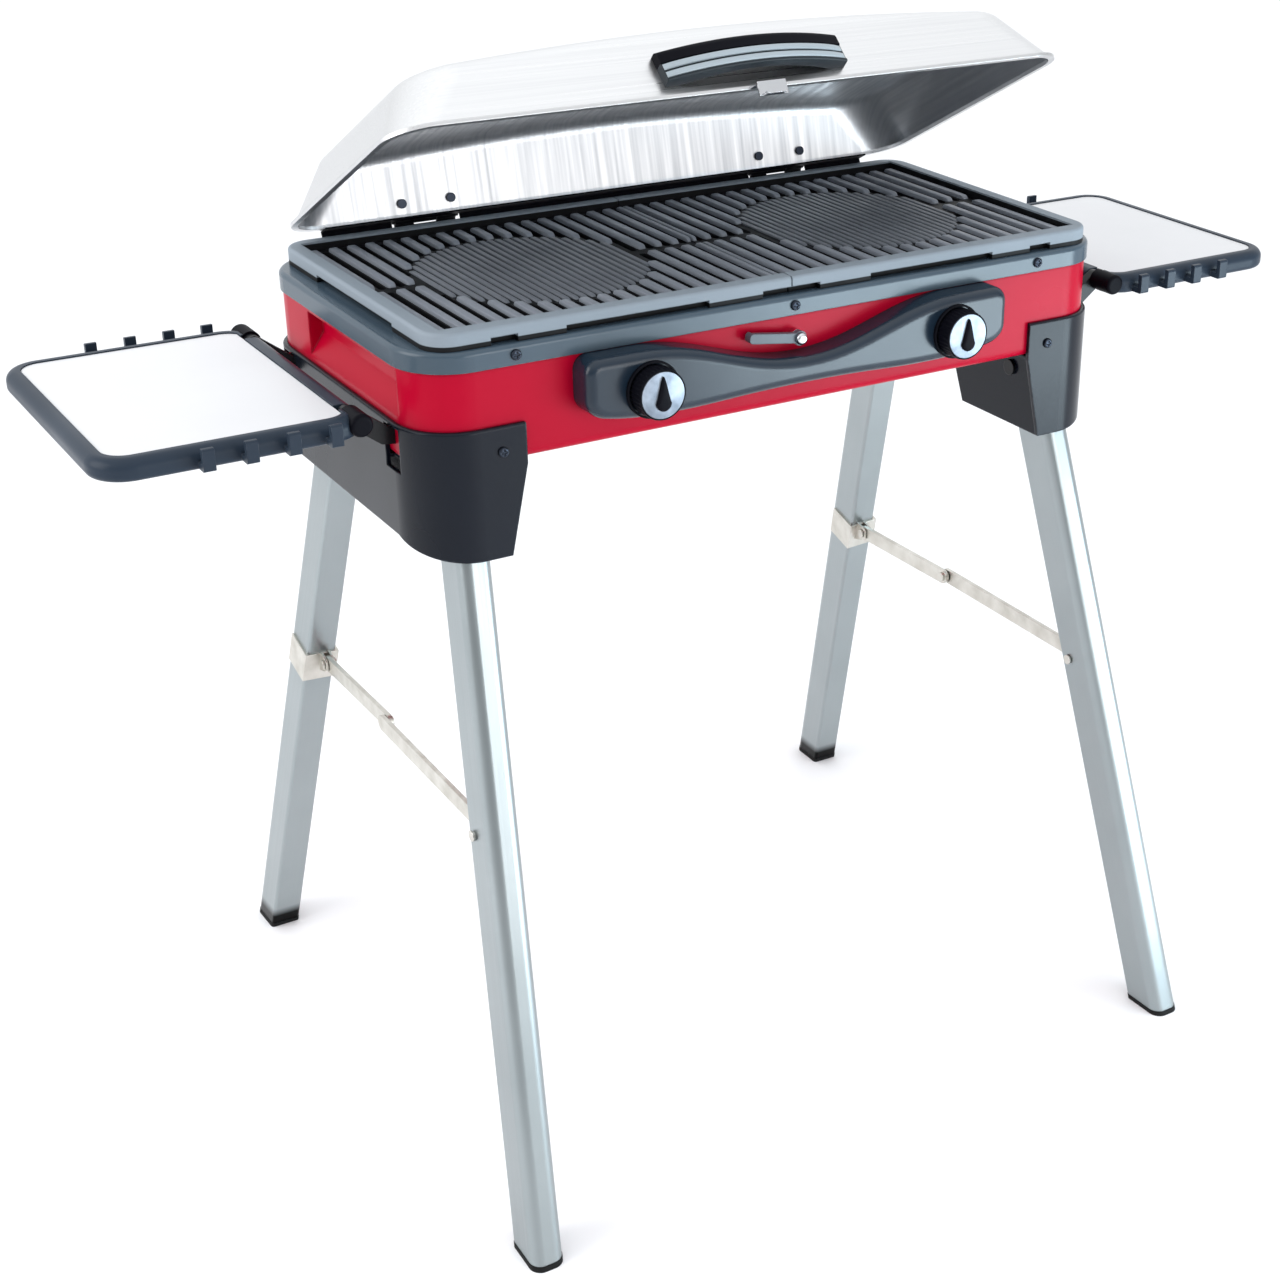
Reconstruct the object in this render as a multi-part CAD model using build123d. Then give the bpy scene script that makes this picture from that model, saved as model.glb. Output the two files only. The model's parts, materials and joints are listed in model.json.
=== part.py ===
from build123d import *
import math
import os

os.makedirs("parts", exist_ok=True)

# Folding gas barbecue grill, all sizes in mm.
# +Z is up, the fascia faces -Y, the origin is on the floor under the middle of the firebox.

# Firebox
BODY_HALF_LENGTH = 323.0
BODY_HALF_DEPTH = 153.0
BODY_CORNER = 45.0
BODY_BOTTOM = 625.0
BODY_TOP = 700.0
BODY_EDGE = 7.0
SHEET = 1.5
RECESS_DEPTH = 12.0
RECESS_FRONT = -112.0
RECESS_REAR = 62.0
RECESS_TOP = (697.0, 694.0)
RECESS_BOTTOM = (658.0, 678.0)
RIM_OVERHANG = 2.0
RIM_TOP = 716.0
RIM_EDGE = 4.0
RIM_OPENING = (298.0, 138.0, 20.0)
SHAFT_OPENING = 10.0
INLET_OPENING = 8.0

# Drip pan
PAN_HALF_LENGTH = 312.0
PAN_HALF_DEPTH = 127.0
PAN_CORNER = 36.0
PAN_CENTRE_Y = 19.0
PAN_TOP = 640.0
PAN_SHEET = 1.2
PAN_FLOOR = BODY_BOTTOM + SHEET + PAN_SHEET

# Screws that hold the housings and the rim
SCREW_HEAD = 4.2
SCREW_HEAD_HEIGHT = 2.4
SCREW_DOME = 1.2
SCREW_SHANK = 1.9
SCREW_DEPTH = 5.0
HOUSING_SCREW_X = 260.0
HOUSING_SCREW_Z = 635.0
RIM_SCREW_X = 245.0
RIM_SCREW_Z = 708.0

# Grill plates
PLATE_HALF_LENGTH = 310.0
PLATE_HALF_DEPTH = 150.0
PLATE_CORNER = 22.0
PLATE_EDGE = 3.0
PLATE_TOP = 730.0
PLATE_DECK = 722.0
PLATE_FRAME = 13.0
PLATE_SEAM = 1.0
PLATE_SIDE_GAPS = ((-1.0, 27.0), (76.0, 200.0), (240.0, 262.0))
PLATE_END_GAP = (-80.0, 70.0)
PLATE_GAP_SIZE = 6.0
SLOT_WIDTH = 6.0
SLOT_PITCH = 16.0
SLOT_MARGIN = 6.0
SLOTS_PER_PLATE = 18
DISC_RADIUS = 97.0
DISC_MARGIN = 3.0
CROSS_RIB = 10.0

# Lid, drawn shut and then swung open about its hinge
LID_HALF_LENGTH = 308.0
LID_FRONT = -140.0
LID_REAR = 152.0
LID_RIM_BOTTOM = 732.0
LID_RIM_TOP = 735.0
LID_HEIGHT = 781.0
LID_CROWN = 13.0
LID_TOP_HALF_LENGTH = 275.0
LID_TOP_FRONT = -118.5
LID_TOP_REAR = 136.0
LID_TOP_CORNER = 46.0
LID_HEM = 4.0
LID_SHEET = 1.5
LID_CORNER = 36.0
LID_EDGE = 16.0
LID_OPEN_ANGLE = 27.6

# Black strip along the hinge line
STRIP_HALF_LENGTH = 272.0
STRIP_THICKNESS = 1.3
STRIP_LAP = 4.0
STRIP_REAR = 156.0
STRIP_FLANGE_BOTTOM = 726.5

# Lid handle
HANDLE_HALF_LENGTH = 82.0
HANDLE_FOOT = 13.0
HANDLE_UP_WALL = 5.0
HANDLE_GAP = 12.5
HANDLE_END_RISE = 8.0
HANDLE_MIDDLE_RISE = 19.0
HANDLE_HEIGHT = 19.0
HANDLE_RIBS = (2.0, 13.0)
HANDLE_RIB_HEIGHT = 4.5
HANDLE_RIB_RISE = 2.0
GRIP_RISE = 1.0
GRIP_TOP = 31.0
GRIP_EDGE = 5.0

# Hinges
HINGE_Y = 157.0
HINGE_Z = 733.0
HINGE_CENTRE = 178.0
HINGE_HALF_LENGTH = 28.0
HINGE_BARREL = 4.0
HINGE_PIN = 2.0
HINGE_PIN_HEAD = 3.0
HINGE_PIN_END = 2.5
HINGE_MIDDLE = 10.0
HINGE_PLAY = 0.5
LEAF_THICKNESS = 2.2
LEAF_HEIGHT = 24.0
LID_SCREW_HEIGHT = 9.0
LID_SCREW_SPREAD = 22.5
LID_SCREW_HEAD = 4.0
LID_SCREW_HEAD_HEIGHT = 2.2
LID_SCREW_SHANK = 1.8
LID_SCREW_REACH = 2.0

# Fascia and knobs
FASCIA_HALF_LENGTH = 198.0
FASCIA_BOTTOM = 646.0
FASCIA_TOP = 699.5
FASCIA_WAIST_TOP = 671.0
FASCIA_WAIST_BOTTOM = 649.0
FASCIA_SHOULDER = 150.0
FASCIA_HIP = 115.0
FASCIA_CORNER = 12.0
FASCIA_FRONT = -178.0
FASCIA_EDGE = 8.0
FASCIA_WALL = 4.0
KNOB_X = 143.5
KNOB_Z = 670.0
KNOB_RADIUS = 20.4
KNOB_HEIGHT = 16.0
KNOB_EDGE = 2.0
KNOB_GAP = 1.0
POINTER_THICKNESS = 3.0
POINTER_TAIL = 6.5
POINTER_TIP = 15.0
BEZEL_RADIUS = 22.8
BEZEL_DEPTH = 3.0
BEZEL_GAP = 0.8
SHAFT_RADIUS = 4.0
SHAFT_END = -127.0
RUNNING_CLEARANCE = 0.05

# Latch lever, its stud and the catch on the lid
LATCH_Z = 683.0
LATCH_REACH = 44.2
LATCH_TILT = 8.0
LEVER_HALF_HEIGHT = 4.0
LEVER_THICKNESS = 5.0
CLAW_THICKNESS = 3.3
CLAW_BACK = -155.6
STUD_BASE = 6.0
STUD_BASE_HEIGHT = 5.2
STUD_NECK = 2.6
STUD_HEAD = 5.0
STUD_HEAD_HEIGHT = 4.0
LEVER_PLAY = 0.3
CATCH_HALF_WIDTH = 13.0
CATCH_SHEET = 1.5
CATCH_TOP = 734.0
CATCH_BOTTOM = 722.8
LIP_HALF_WIDTH = 8.5
LIP_FRONT = -158.0
LIP_THICKNESS = 2.2

# End housings
HOUSING_WALL = 3.7
HOUSING_GAP = 0.3
HOUSING_INNER_X = 240.0
HOUSING_TOP = 655.0
HOUSING_BOTTOM = 550.0
HOUSING_EDGE = 2.0
HOUSING_DECK = 2.5
HOUSING_SCOOP_TOP = 564.5
HOUSING_SCOOP_HALF_DEPTH = 106.0
CHEEK_INNER_X = 256.0
CHEEK_OUTER_X = 299.0
CHEEK_WALL = 3.0
CHEEK_INNER_Y = 33.0
CHEEK_FOOT_Y = 46.0
CHEEK_FOOT_Z = 580.0
TABLE_SLOT_Y = (92.0, 117.0)
TABLE_SLOT_Z = (617.0, 652.0)

# Legs and feet
FOOT_POINT = (329.0, 297.0, 0.0)
LEG_PIVOT = (279.0, 114.3, 602.0)
LEG_WIDTH = 28.0
LEG_DEPTH = 40.0
LEG_WALL = 2.0
LEG_OUTER_EDGE = 10.0
LEG_INNER_EDGE = 3.0
LEG_SIDE_GAP = 1.2
LEG_PIN_RADIUS = 4.0
LEG_PIN_HEAD = 7.0
LEG_PIN_HEAD_HEIGHT = 3.0
LEG_PIN_CLIP_HEIGHT = 2.0
LEG_BOSS_RADIUS = 8.0
FOOT_CAP_HEIGHT = 4.5
FOOT_CAP_OVERLAP = 0.4
FOOT_PLUG_HEIGHT = 20.0
FOOT_PLUG_GAP = 0.15

# Stays
STAY_X = 300.0
STAY_OFFSET = 2.5
STAY_REAR_Y = 163.5
STAY_FRONT_Y = -185.0
STAY_MID_Y = 25.0
STAY_Z = 334.0
STAY_RISE = 2.0
STAY_WIDTH = 14.0
STAY_THICKNESS = 4.0
STAY_PIN_RADIUS = 3.0
RIVET_HEAD = 4.5
RIVET_HEAD_HEIGHT = 1.6
BRACKET_HEIGHT = 30.0
BRACKET_SHEET = 2.0
EAR_GAP = 2.6
EAR_THICKNESS = 2.0

# Side tables
TABLE_INNER = 351.0
TABLE_OUTER = 552.0
TABLE_HALF_DEPTH = 130.0
TABLE_CORNER = 29.0
TABLE_TOP = 672.0
TABLE_BOTTOM = 655.0
TABLE_TOP_EDGE = 8.0
TABLE_BOTTOM_EDGE = 5.0
TABLE_RAIL = 11.5
TABLE_LEDGE = 6.0
TABLE_INNER_RAIL = 38.0
TABLE_PLATE_INNER = 366.0
TABLE_PLATE_SINK = 1.0
TABLE_PLATE_THICKNESS = 3.0
TABLE_PLATE_GAP = 0.4
TABLE_PIVOT_X = 358.0
TABLE_PIVOT_Z = 665.0
KNUCKLE_RADIUS = 9.0
KNUCKLE_INNER_Y = 104.3
KNUCKLE_EDGE = 3.0
ARM_INNER_Y = 96.0
ARM_OUTER_Y = 104.0
ARM_EYE_RADIUS = 7.0
SPIGOT_RADIUS = 5.0
SPIGOT_END_Y = 122.0
HOOK_CENTRES = (382.0, 413.5, 445.0, 476.5)
HOOK_WIDTH = 9.0
HOOK_REACH = 12.0
HOOK_THICKNESS = 5.0
HOOK_TIP = 674.0

# Gas train
BURNER_X = 155.0
BURNER_RADIUS = 60.0
BURNER_BOTTOM = 680.0
BURNER_HEIGHT = 16.0
BURNER_WALL = 6.0
BURNER_FOOT_Y = 35.0
BURNER_FOOT_SPREAD = 25.0
PORT_COUNT = 24
PORT_RADIUS = 2.0
VENTURI_Z = 672.0
VENTURI_RADIUS = 10.0
VENTURI_BORE = 8.0
VENTURI_FRONT = -118.0
VALVE_HALF_WIDTH = 10.0
VALVE_BACK = -122.0
VALVE_BOTTOM = 660.0
VALVE_TOP = 682.0
JET_RADIUS = 4.0
PIPE_Y = -134.0
PIPE_Z = 650.0
PIPE_RADIUS = 6.0
PIPE_BEND = 22.0
STUB_RADIUS = 5.0
INLET_X = 222.0
INLET_START_Y = 140.0
INLET_END_Y = 182.0
INLET_RADIUS = 7.0
INLET_BORE = 3.5
INLET_HEXAGON = 10.5
INLET_HEXAGON_HEIGHT = 8.0
IGNITER_TOP = 684.0
IGNITER_RADIUS = 3.5
ELECTRODE_RADIUS = 1.0
ELECTRODE_Z = 692.0
ELECTRODE_REACH = 9.0

# Generous reach of cutting blocks past the pieces they cut
FAR = 700.0


def block(x_low, x_high, y_low, y_high, z_low, z_high):
    """Box between two corners."""
    middle = ((x_low + x_high) / 2, (y_low + y_high) / 2, (z_low + z_high) / 2)
    return Pos(*middle) * Box(x_high - x_low, y_high - y_low, z_high - z_low)


def rounded_prism(half_x, half_y, radius, z_low, z_high, centre_y=0.0):
    """Upright prism on a rounded rectangle."""
    plan = RectangleRounded(2 * half_x, 2 * half_y, radius)
    return Pos(0, centre_y, z_low) * extrude(plan, z_high - z_low, dir=(0, 0, 1))


def rod(start, end, radius):
    """Round bar between two points."""
    run = Vector(*end) - Vector(*start)
    place = Plane(origin=start, z_dir=run)
    return place * Cylinder(radius, run.length, align=(Align.CENTER, Align.CENTER, Align.MIN))


def rod_along_x(y, z, x_low, x_high, radius):
    """Round bar from left to right."""
    return rod((x_low, y, z), (x_high, y, z), radius)


def rod_along_y(x, z, y_low, y_high, radius):
    """Round bar from front to back."""
    return rod((x, y_low, z), (x, y_high, z), radius)


def front_prism(points, y_low, y_high):
    """Outline in X and Z, drawn out along Y."""
    face = Plane.XZ * Polygon(*points, align=None)
    return Pos(0, y_high, 0) * extrude(face, y_high - y_low, dir=(0, -1, 0))


def end_prism(points, x_low, x_high):
    """Outline in Y and Z, drawn out along X."""
    face = Plane.YZ * Polygon(*points, align=None)
    return Pos(x_low, 0, 0) * extrude(face, x_high - x_low, dir=(1, 0, 0))


def other_end(shape):
    """The same piece at the left end."""
    return mirror(shape, about=Plane.YZ)


def other_side(shape):
    """The same piece at the front instead of the back."""
    return mirror(shape, about=Plane.XZ)


def four_corners(shape):
    """One copy of a piece in each corner."""
    rear = [shape, other_end(shape)]
    return rear + [other_side(piece) for piece in rear]


def group(pieces):
    """Several separate solids kept in one node."""
    return Compound(children=[solid for piece in pieces for solid in piece.solids()])


# Screws of the housings and the rim: a domed head and a short shank
def screw_at(x, y, z):
    """Screw driven in from the front face at y."""
    head = rod_along_y(x, z, y - SCREW_HEAD_HEIGHT, y, SCREW_HEAD)
    head = fillet(head.faces().sort_by(Axis.Y)[0].edges(), SCREW_DOME)
    return head + rod_along_y(x, z, y - SCREW_HEAD_HEIGHT / 2, y + SCREW_DEPTH, SCREW_SHANK)


def screw_hole(x, y, z):
    """Hole that the shank fills."""
    return rod_along_y(x, z, y - SCREW_HEAD_HEIGHT, y + SCREW_DEPTH, SCREW_SHANK)


housing_front = -(BODY_HALF_DEPTH + HOUSING_GAP + HOUSING_WALL)
rim_front = -(BODY_HALF_DEPTH + RIM_OVERHANG)
screw_places = [(x, housing_front, HOUSING_SCREW_Z) for x in (-HOUSING_SCREW_X, HOUSING_SCREW_X)]
screw_places += [(x, rim_front, RIM_SCREW_Z) for x in (-RIM_SCREW_X, 0, RIM_SCREW_X)]
front_screws = [screw_at(*place) for place in screw_places]
case_screws = group(front_screws + [other_side(screw) for screw in front_screws])
front_holes = [screw_hole(*place) for place in screw_places]
screw_holes = front_holes + [other_side(hole) for hole in front_holes]


# Firebox shell: open tray with a shallow recess in each end
def end_recess(grow):
    """Recess in the right end, grown by the sheet on its inner side."""
    outside = BODY_HALF_LENGTH + 2
    back = BODY_HALF_LENGTH - RECESS_DEPTH - grow
    outline = [
        (outside, RECESS_TOP[0] + grow),
        (back, RECESS_TOP[1] + grow),
        (back, RECESS_BOTTOM[1] - grow),
        (outside, RECESS_BOTTOM[0] - grow),
    ]
    return front_prism(outline, RECESS_FRONT - grow, RECESS_REAR + grow)


def tray(inset, top):
    """Rounded tray body with its lower edge rounded, set in all round."""
    body = rounded_prism(
        BODY_HALF_LENGTH - inset,
        BODY_HALF_DEPTH - inset,
        BODY_CORNER - inset,
        BODY_BOTTOM + inset,
        top,
    )
    return fillet(body.faces().sort_by(Axis.Z)[0].edges(), BODY_EDGE - inset)


shell_outside = tray(0, BODY_TOP) - end_recess(0) - other_end(end_recess(0))
shell_inside = tray(SHEET, BODY_TOP + 5) - end_recess(SHEET) - other_end(end_recess(SHEET))
firebox_shell = shell_outside - shell_inside
wall_outside = BODY_HALF_DEPTH + 5
for x in (-KNOB_X, KNOB_X):
    firebox_shell -= rod_along_y(x, KNOB_Z, -wall_outside, -INLET_START_Y, SHAFT_OPENING)
firebox_shell -= rod_along_y(INLET_X, PIPE_Z, INLET_START_Y, wall_outside, INLET_OPENING)
for hole in screw_holes:
    firebox_shell -= hole

# Top rim: flat ring that carries the plates
rim_outside = rounded_prism(
    BODY_HALF_LENGTH + RIM_OVERHANG,
    BODY_HALF_DEPTH + RIM_OVERHANG,
    BODY_CORNER + RIM_OVERHANG,
    BODY_TOP,
    RIM_TOP,
)
rim_outside = fillet(rim_outside.faces().sort_by(Axis.Z)[-1].edges(), RIM_EDGE)
top_rim = rim_outside - rounded_prism(*RIM_OPENING, BODY_TOP - 1, RIM_TOP + 1)
for hole in screw_holes:
    top_rim -= hole


# Drip pan on the floor of the firebox
def pan_prism(inset, bottom, top):
    """Upright prism on the plan of the pan, set in all round."""
    half_x = PAN_HALF_LENGTH - inset
    half_y = PAN_HALF_DEPTH - inset
    return rounded_prism(half_x, half_y, PAN_CORNER - inset, bottom, top, PAN_CENTRE_Y)


drip_pan = pan_prism(0, BODY_BOTTOM + SHEET, PAN_TOP) - pan_prism(PAN_SHEET, PAN_FLOOR, PAN_TOP + 1)


# Grill plate: frame, sunk deck with slots, and a closed disc in the middle
def plate_slots():
    """Slots from front to back, cut short by the disc and by the cross rib."""
    slots = []
    outer_end = PLATE_HALF_DEPTH - PLATE_FRAME - SLOT_MARGIN
    for index in range(SLOTS_PER_PLATE):
        x = SLOT_PITCH * (index + 0.5)
        reach = DISC_RADIUS**2 - (x - BURNER_X) ** 2
        inner_end = CROSS_RIB / 2
        if reach > 0:
            inner_end = max(inner_end, math.sqrt(reach) + DISC_MARGIN)
        slot = SlotOverall(outer_end - inner_end, SLOT_WIDTH, rotation=90)
        for side in (-1, 1):
            slots.append(Pos(x, side * (outer_end + inner_end) / 2, RIM_TOP - 1) * slot)
    return [extrude(slot, PLATE_TOP - RIM_TOP, dir=(0, 0, 1)) for slot in slots]


def grill_plate():
    """Right-hand plate."""
    length = PLATE_HALF_LENGTH - PLATE_SEAM / 2
    centre_x = (PLATE_HALF_LENGTH + PLATE_SEAM / 2) / 2
    plan = Pos(centre_x, 0) * RectangleRounded(length, 2 * PLATE_HALF_DEPTH, PLATE_CORNER)
    plan += Pos(centre_x - length / 4, 0) * Rectangle(length / 2, 2 * PLATE_HALF_DEPTH)
    plate = Pos(0, 0, RIM_TOP) * extrude(plan, PLATE_TOP - RIM_TOP, dir=(0, 0, 1))
    plate = fillet(plate.faces().sort_by(Axis.Z)[-1].edges().sort_by(Axis.X)[1:], PLATE_EDGE)
    inner_depth = PLATE_HALF_DEPTH - PLATE_FRAME
    inner_end = PLATE_HALF_LENGTH - PLATE_FRAME
    plate -= block(-1, inner_end, -inner_depth, inner_depth, PLATE_DECK, PLATE_TOP + 1)
    plate -= plate_slots()
    gap_z = (RIM_TOP - 1, RIM_TOP + PLATE_GAP_SIZE)
    for start, stop in PLATE_SIDE_GAPS:
        gap = block(start, stop, PLATE_HALF_DEPTH - PLATE_GAP_SIZE, PLATE_HALF_DEPTH + 1, *gap_z)
        plate -= gap
        plate -= other_side(gap)
    end_gap_x = (PLATE_HALF_LENGTH - PLATE_GAP_SIZE, PLATE_HALF_LENGTH + 1)
    return plate - block(*end_gap_x, *PLATE_END_GAP, *gap_z)


right_grill_plate = grill_plate()
left_grill_plate = other_end(right_grill_plate)


# Burner: round head with a ring of ports, a mixing tube to the front, two feet
def burner():
    """Right-hand burner."""
    middle_z = BURNER_BOTTOM + BURNER_HEIGHT / 2
    room_radius = BURNER_RADIUS - BURNER_WALL
    head = Pos(BURNER_X, 0, middle_z) * Cylinder(BURNER_RADIUS, BURNER_HEIGHT)
    head = chamfer(head.faces().sort_by(Axis.Z)[-1].edges(), 5)
    body = head + rod_along_y(KNOB_X, VENTURI_Z, VENTURI_FRONT, -20, VENTURI_RADIUS)
    for x in (BURNER_X - BURNER_FOOT_SPREAD, BURNER_X + BURNER_FOOT_SPREAD):
        body += rod((x, BURNER_FOOT_Y, PAN_FLOOR), (x, BURNER_FOOT_Y, BURNER_BOTTOM + 1), 5)
    body -= Pos(BURNER_X, 0, middle_z) * Cylinder(room_radius, 9)
    body -= rod_along_y(KNOB_X, VENTURI_Z, VENTURI_FRONT - 1, -30, VENTURI_BORE)
    body -= rod((KNOB_X, -32, VENTURI_Z), (KNOB_X, -32, middle_z), 6)
    for index in range(PORT_COUNT):
        angle = 2 * math.pi * index / PORT_COUNT
        across = Vector(math.cos(angle), math.sin(angle), 0)
        centre = Vector(BURNER_X, 0, middle_z)
        port = rod(centre + across * (room_radius - 4), centre + across * (BURNER_RADIUS + 4), PORT_RADIUS)
        body -= port
    return body


right_burner = burner()
left_burner = other_end(right_burner)


# Gas valve: block behind the front wall, jet at its back
def gas_valve():
    """Right-hand valve with the bore for its knob's shaft."""
    wall = -(BODY_HALF_DEPTH - SHEET)
    sides = (KNOB_X - VALVE_HALF_WIDTH, KNOB_X + VALVE_HALF_WIDTH)
    valve = block(*sides, wall, VALVE_BACK, VALVE_BOTTOM, VALVE_TOP)
    valve = fillet(valve.edges().filter_by(Axis.Y), 3)
    valve += rod_along_y(KNOB_X, VENTURI_Z, VALVE_BACK - 1, VALVE_BACK + 10, JET_RADIUS)
    bore_radius = SHAFT_RADIUS + RUNNING_CLEARANCE
    return valve - rod_along_y(KNOB_X, KNOB_Z, wall - 1, SHAFT_END + 1, bore_radius)


right_gas_valve = gas_valve()
left_gas_valve = other_end(right_gas_valve)

# Gas pipe along the front and back to the inlet, with a stub under each valve
pipe_end = (-KNOB_X - 15, PIPE_Y, PIPE_Z)
pipe_corner = (INLET_X, PIPE_Y, PIPE_Z)
pipe_back = (INLET_X, INLET_START_Y, PIPE_Z)
pipe_path = FilletPolyline(pipe_end, pipe_corner, pipe_back, radius=PIPE_BEND)
pipe_section = Plane(origin=pipe_end, z_dir=(1, 0, 0)) * Circle(PIPE_RADIUS)
gas_manifold = sweep(pipe_section, path=pipe_path)
for x in (-KNOB_X, KNOB_X):
    gas_manifold += rod((x, PIPE_Y, PIPE_Z), (x, PIPE_Y, VALVE_BOTTOM), STUB_RADIUS)

# Gas inlet: nipple through the back wall with a hexagon outside
gas_inlet = rod_along_y(INLET_X, PIPE_Z, INLET_START_Y, INLET_END_Y, INLET_RADIUS)
hexagon_place = Plane(origin=(INLET_X, BODY_HALF_DEPTH, PIPE_Z), z_dir=(0, 1, 0))
hexagon = hexagon_place * RegularPolygon(INLET_HEXAGON, 6)
gas_inlet += extrude(hexagon, INLET_HEXAGON_HEIGHT, dir=(0, 1, 0))
gas_inlet -= rod_along_y(INLET_X, PIPE_Z, INLET_START_Y + 10, INLET_END_Y + 1, INLET_BORE)

# Igniter beside each burner: ceramic post and a thin electrode
igniter_x = BURNER_X - BURNER_RADIUS - 12
igniter = rod((igniter_x, 0, PAN_FLOOR), (igniter_x, 0, IGNITER_TOP), IGNITER_RADIUS)
igniter += rod((igniter_x, 0, IGNITER_TOP - 1), (igniter_x, 0, ELECTRODE_Z + 1), ELECTRODE_RADIUS)
igniter += rod_along_x(0, ELECTRODE_Z, igniter_x, igniter_x + ELECTRODE_REACH, ELECTRODE_RADIUS)
igniters = group([igniter, other_end(igniter)])


# Fascia: two wide ends round the knobs, sweeping down to a narrow waist
def fascia_outline():
    """Front view of the fascia, X to the right and Z up."""
    end = FASCIA_HALF_LENGTH
    high = FASCIA_TOP
    low = FASCIA_BOTTOM
    corner = FASCIA_CORNER
    bend = 0.45 * FASCIA_CORNER
    hip = FASCIA_HIP
    shoulder = FASCIA_SHOULDER
    waist_top = FASCIA_WAIST_TOP
    waist_bottom = FASCIA_WAIST_BOTTOM
    toe = (end - 15, low + 5.5)
    side_low = (end, low + 22)
    right = [
        Bezier((0, waist_bottom), (60, waist_bottom), (hip - 35, low), (hip, low)),
        Bezier((hip, low), (hip + 30, low), (end - 33, low + 1.5), toe),
        Bezier(toe, (end - 7, low + 7.5), (end, low + 13.5), side_low),
        Line(side_low, (end, high - corner)),
        Bezier((end, high - corner), (end, high - bend), (end - bend, high), (end - corner, high)),
        Line((end - corner, high), (shoulder, high)),
        Bezier((shoulder, high), (shoulder - 60, high), (60, waist_top), (0, waist_top)),
    ]
    left = [mirror(edge, about=Plane.YZ) for edge in right]
    return make_face(Curve() + right + left)


fascia = extrude(Plane.XZ * fascia_outline(), -FASCIA_FRONT - BODY_HALF_DEPTH, dir=(0, -1, 0))
fascia = Pos(0, -BODY_HALF_DEPTH, 0) * fascia
fascia = fillet(fascia.faces().sort_by(Axis.Y)[0].edges(), FASCIA_EDGE)
pocket_y = (FASCIA_FRONT + FASCIA_WALL, -BODY_HALF_DEPTH + 1)
pocket_z = (FASCIA_WAIST_BOTTOM + FASCIA_WALL, FASCIA_WAIST_TOP - FASCIA_WALL)
pocket_end = FASCIA_HALF_LENGTH - 20
fascia -= block(-pocket_end, pocket_end, *pocket_y, *pocket_z)
end_pocket_x = (KNOB_X - 10, FASCIA_HALF_LENGTH - 10)
end_pocket = block(*end_pocket_x, *pocket_y, pocket_z[0] + 8, FASCIA_TOP - 6)
fascia -= end_pocket
fascia -= other_end(end_pocket)
for x in (-KNOB_X, KNOB_X):
    fascia -= rod_along_y(x, KNOB_Z, FASCIA_FRONT - 1, -BODY_HALF_DEPTH, SHAFT_RADIUS + 2)

# Dark ring round each knob
bezel = rod_along_y(KNOB_X, KNOB_Z, FASCIA_FRONT - BEZEL_DEPTH, FASCIA_FRONT, BEZEL_RADIUS)
bezel = fillet(bezel.faces().sort_by(Axis.Y)[0].edges(), BEZEL_DEPTH / 3)
bezel_room = KNOB_RADIUS + BEZEL_GAP
bezel -= rod_along_y(KNOB_X, KNOB_Z, FASCIA_FRONT - BEZEL_DEPTH - 1, FASCIA_FRONT + 1, bezel_room)
knob_bezels = group([bezel, other_end(bezel)])

# Knob with its shaft, and the pointer on its face
knob_back = FASCIA_FRONT - KNOB_GAP
knob_front = knob_back - KNOB_HEIGHT
right_knob = rod_along_y(KNOB_X, KNOB_Z, knob_front, knob_back, KNOB_RADIUS)
right_knob = fillet(right_knob.faces().sort_by(Axis.Y)[0].edges(), KNOB_EDGE)
right_knob += rod_along_y(KNOB_X, KNOB_Z, knob_back - 1, SHAFT_END, SHAFT_RADIUS)
left_knob = other_end(right_knob)
tail_centre = 0.5 - POINTER_TAIL
pointer_side = POINTER_TAIL - 0.25
teardrop = Pos(0, tail_centre) * Circle(POINTER_TAIL)
teardrop += Polygon((0, POINTER_TIP), (-pointer_side, -4.2), (pointer_side, -4.2), align=None)
pointer_place = Plane(origin=(KNOB_X, knob_front, KNOB_Z), x_dir=(1, 0, 0), z_dir=(0, -1, 0))
right_knob_pointer = extrude(pointer_place * teardrop, POINTER_THICKNESS, dir=(0, -1, 0))
left_knob_pointer = other_end(right_knob_pointer)

# Latch stud on the front wall, and the lever with its claw that turns on it
stud_face = -BODY_HALF_DEPTH
stud_front = stud_face - STUD_BASE_HEIGHT
lever_back = stud_front - LEVER_PLAY
lever_front = lever_back - LEVER_THICKNESS
head_back = lever_front - LEVER_PLAY
latch_stud = rod_along_y(0, LATCH_Z, stud_front, stud_face, STUD_BASE)
latch_stud += rod_along_y(0, LATCH_Z, head_back - 1, stud_front + 1, STUD_NECK)
stud_head = rod_along_y(0, LATCH_Z, head_back - STUD_HEAD_HEIGHT, head_back, STUD_HEAD)
latch_stud += fillet(stud_head.faces().sort_by(Axis.Y)[0].edges(), STUD_HEAD_HEIGHT - 1)
lever_end = -LATCH_REACH - CLAW_THICKNESS
lever_z = (LATCH_Z - LEVER_HALF_HEIGHT, LATCH_Z + LEVER_HALF_HEIGHT)
lever = block(lever_end, 0, lever_front, lever_back, *lever_z)
lever += block(lever_end, -LATCH_REACH, lever_front, CLAW_BACK, *lever_z)
lever = fillet(lever.edges().filter_by(Axis.Y).sort_by(Axis.X)[:2], CLAW_THICKNESS - 0.3)
lever += rod_along_y(0, LATCH_Z, lever_front, lever_back, STUD_BASE)
lever -= rod_along_y(0, LATCH_Z, lever_front - 1, lever_back + 1, STUD_NECK + RUNNING_CLEARANCE)
front_latch = lever.rotate(Axis((0, 0, LATCH_Z), (0, 1, 0)), LATCH_TILT)


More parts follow.
